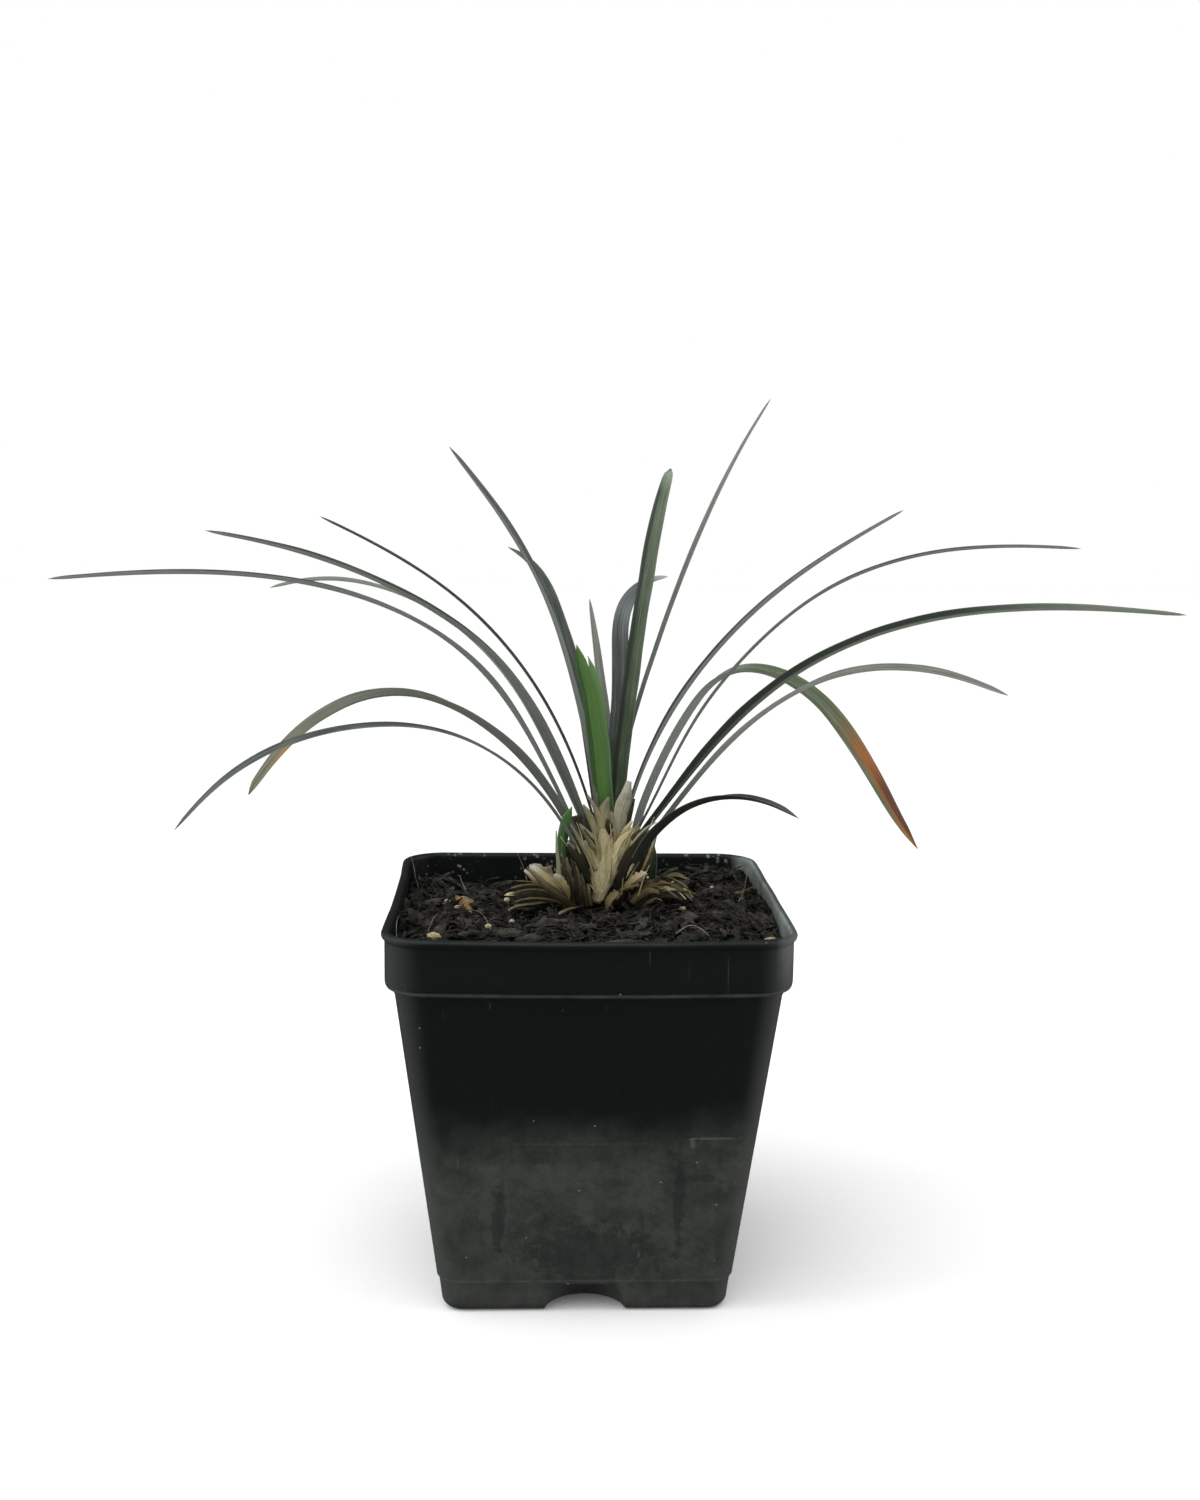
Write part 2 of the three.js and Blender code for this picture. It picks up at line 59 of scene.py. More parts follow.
def addNode(tree, kind, inputs=None, **settings):
    node = tree.nodes.new(kind)
    for name, value in settings.items():
        setattr(node, name, value)
    setInputs(tree, node, inputs or {})
    return node


def newMaterial(name):
    material = bpy.data.materials.new(name)
    material.use_nodes = True
    return material, material.node_tree, material.node_tree.nodes["Principled BSDF"]


def setStops(ramp, stops):  # stops as (position, sRGB hex)
    elements = ramp.color_ramp.elements
    while len(elements) < len(stops):
        elements.new(0.5)
    for element, (position, colour) in zip(elements, stops):
        element.position = position
        element.color = linear(colour)


def clamp(value, low=0.0, high=1.0):
    return max(low, min(high, value))


def mix(a, b, share):
    return a + (b - a) * share


def smooth(value, low, high):
    share = clamp((value - low) / (high - low))
    return share * share * (3 - 2 * share)


def noiseAt(*place):
    return noise.noise(Vector(place))


def outwardAt(degrees):  # the level direction at a turn about +Z
    return Vector((math.cos(math.radians(degrees)), math.sin(math.radians(degrees)), 0))


def addObject(name, data):
    thing = bpy.data.objects.new(name, data)
    scene.collection.objects.link(thing)
    return thing


def meshObject(name, points, faces, smoothShading=True):
    mesh = bpy.data.meshes.new(name)
    mesh.from_pydata([Vector(p) * mm for p in points], [], faces)
    mesh.update()
    mesh.polygons.foreach_set("use_smooth", [smoothShading] * len(mesh.polygons))
    return addObject(name, mesh)


def loft(name, rings, smoothShading=True):  # closed; rings turn counter-clockwise seen from the last
    count, sides, faces = len(rings), len(rings[0]), []
    for i in range(count - 1):
        for j in range(sides):
            k = (j + 1) % sides
            faces.append((i * sides + j, i * sides + k, (i + 1) * sides + k, (i + 1) * sides + j))
    faces += [tuple(reversed(range(sides))), tuple(range((count - 1) * sides, count * sides))]
    return meshObject(name, [point for ring in rings for point in ring], faces, smoothShading)


def storeRingUv(piece, count, sides, along, around):  # leafUv for a loft, with its reach each way
    layer = piece.data.uv_layers.new(name="leafUv")
    for loop in piece.data.loops:
        ring, side = divmod(loop.vertex_index, sides)
        layer.data[loop.index].uv = (ring / count * along, side / sides * around)


def keepResult(piece, modifier):  # a modifier's result becomes the piece's mesh
    bpy.context.view_layer.update()
    evaluated = piece.evaluated_get(bpy.context.evaluated_depsgraph_get())
    mesh = bpy.data.meshes.new_from_object(evaluated)
    piece.modifiers.remove(modifier)
    old = piece.data
    piece.data = mesh
    bpy.data.meshes.remove(old)
    mesh.name = piece.name


def giveNodes(piece, tree, values):
    modifier = piece.modifiers.new("shape", "NODES")
    modifier.node_group = tree
    sockets = {s.name: s.identifier for s in tree.interface.items_tree if s.in_out == "INPUT"}
    for name, value in values.items():
        modifier[sockets[name]] = value
    keepResult(piece, modifier)
    return piece


def newTree(name, inputs):  # inputs as (name, socket kind, default)
    tree = bpy.data.node_groups.new(name, "GeometryNodeTree")
    tree.interface.new_socket("Geometry", in_out="INPUT", socket_type="NodeSocketGeometry")
    for label, kind, default in inputs:
        socket = tree.interface.new_socket(label, in_out="INPUT", socket_type="NodeSocket" + kind)
        if default is not None:
            socket.default_value = default
    tree.interface.new_socket("Geometry", in_out="OUTPUT", socket_type="NodeSocketGeometry")
    return tree, addNode(tree, "NodeGroupInput").outputs, addNode(tree, "NodeGroupOutput")


def joinPieces(name, pieces):
    with bpy.context.temp_override(active_object=pieces[0], selected_editable_objects=pieces):
        bpy.ops.object.join()
    pieces[0].name = name
    pieces[0].data.name = name
    return pieces[0]


def settle(piece, slot, *replaced):
    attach(piece, "root")
    if replaced:
        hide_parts(*replaced)
    return piece


cameraSetup = {  # fitted by least squares to the pot's edges
    "place": (-16.06, -455.99, 206.42),  # mm from the middle of the pot's underside
    "turn": -0.0428,  # radians about +Z, from looking along +Y
    "down": 0.1518,
    "roll": 0.0129,
    "lens": 42.92,  # mm, on a sensor 36 mm along the tall side
}


def makeCamera():
    data = bpy.data.cameras.new("studioCamera")
    data.lens = cameraSetup["lens"]
    data.sensor_width = 36
    data.clip_start = 0.01
    camera = addObject("studioCamera", data)
    turn = Matrix.Rotation(cameraSetup["turn"], 4, "Z")
    tilt = Matrix.Rotation(math.pi / 2 - cameraSetup["down"], 4, "X")
    roll = Matrix.Rotation(cameraSetup["roll"], 4, "Z")
    camera.matrix_world = Matrix.Translation(Vector(cameraSetup["place"]) * mm) @ turn @ tilt @ roll
    scene.camera = camera


makeCamera()
print("camera placed")


# A live mondo grass leaf: a thick waxy skin over lengthwise veins, so it shows fine ribs,
# a satin sheen along them, paler margins and a greyer underside. Stops run from foot to tip.
leafFinishes = {
    "dusk": {"stops": [(0.0, "#292d28"), (0.14, "#353b36"), (0.5, "#4b524d"), (0.9, "#5e6560")],
             "under": "#737972", "vein": "#2a2f2b", "margin": "#848a82"},
    "slate": {"stops": [(0.0, "#3d4241"), (0.3, "#575d5c"), (0.9, "#6b7170")],
              "under": "#797e7c", "vein": "#424747", "margin": "#4a4f4e"},
    "moss": {"stops": [(0.0, "#3f4a3b"), (0.3, "#4f5c47"), (0.8, "#55634c"), (1.0, "#6a755f")],
             "under": "#6d7766", "vein": "#2f3d2b", "margin": "#7f8a7b"},
    "bottle": {"stops": [(0.0, "#2b322b"), (0.15, "#364232"), (0.4, "#42523c"), (0.6, "#545f55"),
                         (1.0, "#646d66")],
               "under": "#727a6e", "vein": "#27321f", "margin": "#7d8578"},
    "sage": {"stops": [(0.0, "#32383a"), (0.2, "#454b49"), (0.5, "#5c635d"), (0.75, "#6e7162"),
                       (1.0, "#7c7654")],
             "under": "#686d64", "vein": "#3f463f", "margin": "#868a7d"},
    "fern": {"stops": [(0.0, "#4c5352"), (0.25, "#7c8482"), (0.42, "#7f857e"), (0.55, "#5d6949"),
                       (1.0, "#535e40")],
             "under": "#868d86", "vein": "#3c4a36", "margin": "#7c8566"},
    "ash": {"stops": [(0.0, "#535a52"), (0.4, "#6b7168"), (1.0, "#828780")],
            "under": "#83887f", "vein": "#50564f", "margin": "#92978e"},
    "forest": {"stops": [(0.0, "#282d28"), (0.15, "#30372f"), (0.5, "#3d463d"), (0.8, "#4b534b"),
                         (1.0, "#61685f")],
               "under": "#6f766d", "vein": "#242a24", "margin": "#7b8178"},
    "night": {"stops": [(0.0, "#1f1b11"), (0.3, "#1c1d16"), (0.55, "#292d28"), (0.8, "#4b514d"),
                        (1.0, "#737a77")],
              "under": "#2f3029", "vein": "#14160f", "margin": "#6a6d60"},
    "ink": {"stops": [(0.0, "#1a1b14"), (0.25, "#20241d"), (0.55, "#3b423a"), (1.0, "#5d655c")],
            "under": "#333932", "vein": "#171a15", "margin": "#474d46"},
    "young": {"stops": [(0.0, "#7fae22"), (0.22, "#679a28"), (0.42, "#4c7a2c"), (0.8, "#42663a"),
                        (1.0, "#5a6f48")],
              "under": "#557a3c", "vein": "#28481a", "margin": "#3b5a31"},
    "shade": {"stops": [(0.0, "#6b9a30"), (0.3, "#6a9548"), (0.8, "#709a58"), (1.0, "#86a074")],
              "under": "#6f915a", "vein": "#3c5f30", "margin": "#567a45"},
    "shoot": {"stops": [(0.0, "#23301c"), (0.3, "#2a3c22"), (0.6, "#3f6430"), (0.85, "#456b36"),
                        (1.0, "#37552c")],
              "under": "#4a6f3b", "vein": "#233a1b", "margin": "#5b7a4e"},
    "reed": {"stops": [(0.0, "#39412f"), (0.6, "#4a5a44"), (1.0, "#64745e")],
             "under": "#566650", "vein": "#303c2c", "margin": "#6d7b66"},
}
tenderFinishes = ("young", "shade", "shoot", "reed")
leafSkin = {"veinSpacing": 0.52, "roughness": (0.36, 0.56), "veinRelief": 0.06}  # spacing and relief in mm


def leafMaterial(name, finish, length, width, blight=()):
    look = leafFinishes[finish]
    material, tree, shader = newMaterial(name)
    place = addNode(tree, "ShaderNodeUVMap", uv_map="leafUv")
    split = addNode(tree, "ShaderNodeSeparateXYZ", {"Vector": place}).outputs
    under = addNode(tree, "ShaderNodeAttribute", attribute_name="underside").outputs["Fac"]
    # leafMm is the place on the blade in millimetres, along and across
    leafMm = addNode(tree, "ShaderNodeMapping", {"Vector": place, "Scale": (length, width, 1)})
    ramp = addNode(tree, "ShaderNodeValToRGB", {"Fac": split["X"]})
    setStops(ramp, look["stops"])
    # streaks about 20 mm long, threads of 6 mm, and cloudy wax a few millimetres across
    noises = []
    for scale, detail, roughness in (((0.05, 2.2, 1), 3.0, 0.6), ((0.16, 6.5, 1), 2.0, 0.5),
                                     ((0.12, 0.5, 1), 4.0, 0.5)):
        stretched = addNode(tree, "ShaderNodeMapping", {"Vector": leafMm, "Scale": scale})
        noises.append(addNode(tree, "ShaderNodeTexNoise", {"Vector": stretched, "Scale": 1.0,
                                                           "Detail": detail, "Roughness": roughness}))
    streaks, threads, cloud = noises
    veinRate = 2 * math.pi * width / leafSkin["veinSpacing"]
    veinTurn = addNode(tree, "ShaderNodeMath", {0: split["Y"], 1: veinRate}, operation="MULTIPLY")
    veinWave = addNode(tree, "ShaderNodeMath", {0: veinTurn}, operation="COSINE")
    veinDepth = addNode(tree, "ShaderNodeMapRange", {"Value": veinWave, 1: 0.1, 2: 1.0, 3: 0.0, 4: 0.55})
    veinStreak = addNode(tree, "ShaderNodeMapRange", {"Value": streaks, 1: 0.38, 2: 0.66, 3: 0.0, 4: 0.75})
    veins = addNode(tree, "ShaderNodeMath", {0: veinDepth, 1: veinStreak}, operation="ADD")
    wax = addNode(tree, "ShaderNodeMapRange", {"Value": cloud, 1: 0.46, 2: 0.75, 3: 0.0, 4: 0.4})
    below = addNode(tree, "ShaderNodeMath", {0: under, 1: 0.85}, operation="MULTIPLY")
    fromMiddle = addNode(tree, "ShaderNodeMath", {0: split["Y"], 1: 0.5}, operation="SUBTRACT")
    outward = addNode(tree, "ShaderNodeMath", {0: fromMiddle}, operation="ABSOLUTE")
    margin = addNode(tree, "ShaderNodeMapRange", {"Value": outward, 1: 0.435, 2: 0.49, 3: 0.0, 4: 0.6})
    coats = [(veins, look["vein"]), (wax, look["under"]), (below, look["under"]), (margin, look["margin"])]
    for patch in blight:  # a dying stretch, a half with painted shade or a half with painted light; its ends wander with the streaks
        ragged = addNode(tree, "ShaderNodeMath", {0: streaks, 1: patch.get("ragged", 0.12), 2: split["X"]},
                         operation="MULTIPLY_ADD")
        ends = [(ragged, patch["from"], patch["full"], 0.0, patch.get("strength", 1.0))]
        if "until" in patch:
            ends.append((ragged, patch["until"], patch["gone"], 1.0, 0.0))
        if "side" in patch:  # only one half, from the midrib outwards
            ends.append((split["Y"], *patch["side"], 0.0, 1.0))
        reach = 1.0
        for value, *span in ends:
            part = addNode(tree, "ShaderNodeMapRange", {"Value": value, **dict(enumerate(span, 1))})
            reach = addNode(tree, "ShaderNodeMath", {0: reach, 1: part}, operation="MULTIPLY")
        coats.append((reach, patch["colour"]))
    colour = ramp
    for share, tint in coats:
        colour = addNode(tree, "ShaderNodeMix", {0: share, 6: colour, 7: linear(tint)}, data_type="RGBA")
    glossy, dull = leafSkin["roughness"]
    rough = addNode(tree, "ShaderNodeMapRange", {"Value": cloud, 1: 0.3, 2: 0.7, 3: glossy, 4: dull})
    relief = addNode(tree, "ShaderNodeMath", {0: veinWave, 1: -0.5, 2: threads}, operation="MULTIPLY_ADD")
    bump = addNode(tree, "ShaderNodeBump", {"Strength": 0.5, "Distance": leafSkin["veinRelief"] * mm,
                                            "Height": relief})
    setInputs(tree, shader, {"Base Color": colour, "Roughness": rough, "Normal": bump, "IOR": 1.45,
                             "Specular IOR Level": 0.45})
    if finish in tenderFinishes:  # thin young tissue glows a little
        setInputs(tree, shader, {"Subsurface Weight": 0.25, "Subsurface Radius": (0.4, 1.0, 0.2),
                                 "Subsurface Scale": 0.8 * mm})
    return material


# A dead sheath or leaf base: papery tissue whose fibres show as lengthwise streaks, quite matte.
paperFinishes = {
    "straw": {"stops": [(0.0, "#6d5f41"), (0.25, "#998a62"), (0.7, "#b0a27b"), (1.0, "#c6bea2")],
              "fibre": "#6b5c3d", "stain": "#4a3d26"},
    "felt": {"stops": [(0.0, "#d8caa6"), (0.3, "#c6ba93"), (0.7, "#bbb086"), (1.0, "#aaa27f")],
             "fibre": "#85784f", "stain": "#8f8259"},
    "lobe": {"stops": [(0.0, "#a89d76"), (0.4, "#958d6c"), (0.75, "#7f7b61"), (1.0, "#8f8e7b")],
             "fibre": "#5f573c", "stain": "#554b31"},
    "hay": {"stops": [(0.0, "#3f361f"), (0.3, "#5e5538"), (0.7, "#7a7052"), (1.0, "#918969")],
            "fibre": "#3d341d", "stain": "#2a2213"},
    "golden": {"stops": [(0.0, "#4c3e22"), (0.4, "#76633b"), (1.0, "#94835a")],
               "fibre": "#55441f", "stain": "#3b2d14"},
    "pale": {"stops": [(0.0, "#8a7f5c"), (0.3, "#949077"), (0.7, "#9f9e8b"), (1.0, "#bebdb2")],
             "fibre": "#716d57", "stain": "#6a6348"},
    "flake": {"stops": [(0.0, "#6a5a39"), (0.4, "#8d7e58"), (0.75, "#a09674"), (1.0, "#d6d3ca")],
              "fibre": "#6f6240", "stain": "#54462a"},
    "brown": {"stops": [(0.0, "#2c2416"), (0.4, "#4a3f2a"), (0.8, "#655a40"), (1.0, "#8b8064")],
              "fibre": "#221b10", "stain": "#1b160e"},
    "moult": {"stops": [(0.0, "#2e2817"), (0.4, "#4b4430"), (0.75, "#4a4a38"), (1.0, "#3f4d34")],
              "fibre": "#2a2416", "stain": "#221c11"},
    "umber": {"stops": [(0.0, "#1c170e"), (0.4, "#2b2718"), (0.8, "#35321f"), (1.0, "#4a4938")],
              "fibre": "#15120b", "stain": "#100d08"},
    "cream": {"stops": [(0.0, "#74633f"), (0.35, "#a3926b"), (0.75, "#bfb493"), (1.0, "#dcd9cd")],
              "fibre": "#85754f", "stain": "#5b4a2c"},
}
paperSize = (14, 6)  # mm along and across a typical sheath


def paperMaterial(name, finish):
    look = paperFinishes[finish]
    material, tree, shader = newMaterial(name)
    place = addNode(tree, "ShaderNodeUVMap", uv_map="leafUv")
    along = addNode(tree, "ShaderNodeSeparateXYZ", {"Vector": place})
    spot = addNode(tree, "ShaderNodeTexCoord").outputs["Object"]
    ramp = addNode(tree, "ShaderNodeValToRGB", {"Fac": along})
    setStops(ramp, look["stops"])
    # fibres 0.3 mm apart and about 6 mm long, stains of 4 mm, short felted fibres of 0.5 mm
    leafMm = addNode(tree, "ShaderNodeMapping", {"Vector": place, "Scale": (*paperSize, 1)})
    fibrePlace = addNode(tree, "ShaderNodeMapping", {"Vector": leafMm, "Scale": (0.16, 3.4, 1)})
    fibres, stains, felt = (
        addNode(tree, "ShaderNodeTexNoise", {"Vector": where, "Scale": scale, "Detail": detail,
                                             "Roughness": roughness})
        for where, scale, detail, roughness in ((fibrePlace, 1.0, 3.0, 0.65), (spot, 230.0, 4.0, 0.6),
                                                (spot, 1900.0, 3.0, 0.7)))
    colour = ramp
    for texture, low, high, most, tint in ((fibres, 0.45, 0.72, 0.8, "fibre"),
                                           (stains, 0.5, 0.72, 0.75, "stain"),
                                           (felt, 0.5, 0.74, 0.6, "fibre")):
        share = addNode(tree, "ShaderNodeMapRange", {"Value": texture, 1: low, 2: high, 3: 0.0, 4: most})
        colour = addNode(tree, "ShaderNodeMix", {0: share, 6: colour, 7: linear(look[tint])},
                         data_type="RGBA")
    bump = addNode(tree, "ShaderNodeBump", {"Strength": 0.8, "Distance": 0.12 * mm, "Height": fibres})
    setInputs(tree, shader, {"Base Color": colour, "Roughness": 0.82, "Specular IOR Level": 0.25,
                             "Normal": bump})
    return material


# A strap follows a guide: a line of points that carry the strap's directions and half-width.
strapLayers = {"across": "FLOAT_VECTOR", "up": "FLOAT_VECTOR", "halfWidth": "FLOAT", "fold": "FLOAT",
               "thin": "FLOAT", "shift": "FLOAT"}


def makeStrapTree():
    tree, given, result = newTree("strap", [
        ("Stations", "Int", 40), ("Columns", "Int", 15), ("Thickness", "Float", 0.0007),
        ("Ribs", "Float", 5.0), ("Rib Height", "Float", 0.00005), ("Material", "Material", None)])
    sheet = addNode(tree, "GeometryNodeMeshGrid", {"Size X": 1.0, "Size Y": 2.0,
                    "Vertices X": given["Stations"], "Vertices Y": given["Columns"]})
    position = addNode(tree, "GeometryNodeInputPosition")
    spot = addNode(tree, "ShaderNodeSeparateXYZ", {"Vector": position}).outputs
    made = {"x": spot["X"], "side": spot["Y"], "stations": given["Stations"], "ribs": given["Ribs"],
            "ribHeight": given["Rib Height"], "thickness": given["Thickness"]}
    places = (("share", "ADD", "x", 0.5), ("last", "SUBTRACT", "stations", 1.0),
              ("station", "MULTIPLY", "share", "last"), ("index", "ROUND", "station"))
    shapes = (("sideWise", "ADD", "side", "shift"), ("reach", "MULTIPLY", "sideWise", "halfWidth"),
              ("outward", "ABSOLUTE", "side"), ("eased", "POWER", "outward", 1.35),
              ("foldReach", "MULTIPLY", "eased", "halfWidth"), ("lift", "MULTIPLY", "foldReach", "fold"),
              ("bulge", "POWER", "outward", 3.0), ("body", "SUBTRACT", 1.0, "bulge"),
              ("ribTurn", "MULTIPLY", "ribs", math.pi), ("ribPlace", "MULTIPLY", "side", "ribTurn"),
              ("ribWave", "COSINE", "ribPlace"), ("rib", "MULTIPLY", "ribWave", "ribHeight"),
              ("halfThick", "MULTIPLY_ADD", "thickness", 0.5, "rib"),
              ("shaped", "MULTIPLY", "halfThick", "body"), ("thick", "MULTIPLY", "shaped", "thin"),
              ("sideShare", "MULTIPLY_ADD", "side", 0.5, 0.5))
    for steps in (places, shapes):  # sums as (result, operation, terms)
        for name, operation, *terms in steps:
            made[name] = addNode(tree, "ShaderNodeMath", dict(enumerate(made.get(t, t) for t in terms)),
                                 operation=operation)
        if steps is places:  # what the guide says at this station
            for name, kind in (("position", "FLOAT_VECTOR"), *strapLayers.items()):
                value = position if name == "position" else addNode(
                    tree, "GeometryNodeInputNamedAttribute", {"Name": name}, data_type=kind)
                made[name] = addNode(tree, "GeometryNodeSampleIndex", {"Geometry": given["Geometry"],
                                     "Value": value, "Index": made["index"]}, data_type=kind, clamp=True)
    middle = addNode(tree, "ShaderNodeVectorMath", {0: made["across"], "Scale": made["reach"]},
                     operation="SCALE")
    middle = addNode(tree, "ShaderNodeVectorMath", {0: made["position"], 1: middle}, operation="ADD")
    uv = addNode(tree, "ShaderNodeCombineXYZ", {"X": made["share"], "Y": made["sideShare"]})
    skins = []
    for sign in (1.0, -1.0):
        height = addNode(tree, "ShaderNodeMath", {0: made["thick"], 1: sign, 2: made["lift"]},
                         operation="MULTIPLY_ADD")
        raised = addNode(tree, "ShaderNodeVectorMath", {0: made["up"], "Scale": height}, operation="SCALE")
        place = addNode(tree, "ShaderNodeVectorMath", {0: middle, 1: raised}, operation="ADD")
        skin = addNode(tree, "GeometryNodeStoreNamedAttribute", {"Geometry": sheet, "Name": "leafUv",
                       "Value": uv}, data_type="FLOAT2", domain="CORNER")
        skin = addNode(tree, "GeometryNodeStoreNamedAttribute", {"Geometry": skin, "Name": "underside",
                       "Value": 0.0 if sign > 0 else 1.0}, data_type="FLOAT", domain="FACE")
        skin = addNode(tree, "GeometryNodeSetPosition", {"Geometry": skin, "Position": place})
        skins.append(skin if sign > 0 else addNode(tree, "GeometryNodeFlipFaces", {"Mesh": skin}))
    both = addNode(tree, "GeometryNodeJoinGeometry")
    for skin in reversed(skins):
        setInputs(tree, both, {0: skin})
    closed = addNode(tree, "GeometryNodeMergeByDistance", {"Geometry": both, "Distance": 0.004 * mm})
    shaded = addNode(tree, "GeometryNodeSetShadeSmooth", {"Geometry": closed})
    finished = addNode(tree, "GeometryNodeSetMaterial", {"Geometry": shaded, "Material": given["Material"]})
    setInputs(tree, result, {0: finished})
    return tree


strapTree = makeStrapTree()


def leanAt(leans, share):  # a smooth curve through evenly spaced values
    last = len(leans) - 1
    place = clamp(share) * last
    k = min(int(place), last)
    w = place - k
    p0, p1 = leans[max(k - 1, 0)], leans[k]
    p2, p3 = leans[min(k + 1, last)], leans[min(k + 2, last)]
    v0, v1 = (p2 - p0) / 2, (p3 - p1) / 2
    return ((2 * p1 - 2 * p2 + v0 + v1) * w ** 3 + (-3 * p1 + 3 * p2 - 2 * v0 - v1) * w * w
            + v0 * w + p1)


def bladeDirections(blade, share):
    heading = math.radians(blade["heading"])
    lean = math.radians(leanAt(blade["lean"], share))
    along = Vector((math.cos(heading) * math.sin(lean), math.sin(heading) * math.sin(lean), math.cos(lean)))
    roll = math.radians(mix(*blade["roll"], clamp(share)))
    across = Matrix.Rotation(roll, 3, along) @ Vector((-math.sin(heading), math.cos(heading), 0))
    return along, across, along.cross(across)


def bladeLine(blade, spacing):  # stations from the sunk foot to the tip, as shares of the length
    length = blade["length"]
    start = -blade["sunk"] / length
    steps = max(6, round((1 - start) * length / spacing))
    pace = (1 - start) / steps
    point = Vector(blade["foot"]) + bladeDirections(blade, 0)[0] * start * length
    stations = []
    for k in range(steps + 1):
        share = start + pace * k
        if k:
            point = point + bladeDirections(blade, share - pace / 2)[0] * pace * length
        stations.append((share, point.copy(), *bladeDirections(blade, share)))
    return stations


def makeStrap(name, stations, halfWidths, folds, shifts, thickness, ribs, ribHeight, material):
    last = len(stations) - 1
    mesh = bpy.data.meshes.new(name)
    mesh.from_pydata([s[1] * mm for s in stations], [(k, k + 1) for k in range(last)], [])
    values = {"across": [c for s in stations for c in s[3]], "up": [c for s in stations for c in s[4]],
              "halfWidth": [w * mm for w in halfWidths], "fold": folds, "shift": shifts,
              # both ends close to an edge
              "thin": [clamp(min(k, last - k) / 3) ** 0.5 for k in range(last + 1)]}
    for label, kind in strapLayers.items():
        layer = mesh.attributes.new(label, kind, "POINT")
        layer.data.foreach_set("value" if kind == "FLOAT" else "vector", values[label])
    return giveNodes(addObject(name, mesh), strapTree, {
        "Stations": last + 1, "Columns": 2 * round(3.5 * ribs) + 1, "Thickness": thickness * mm,
        "Ribs": float(ribs), "Rib Height": ribHeight * mm, "Material": material})
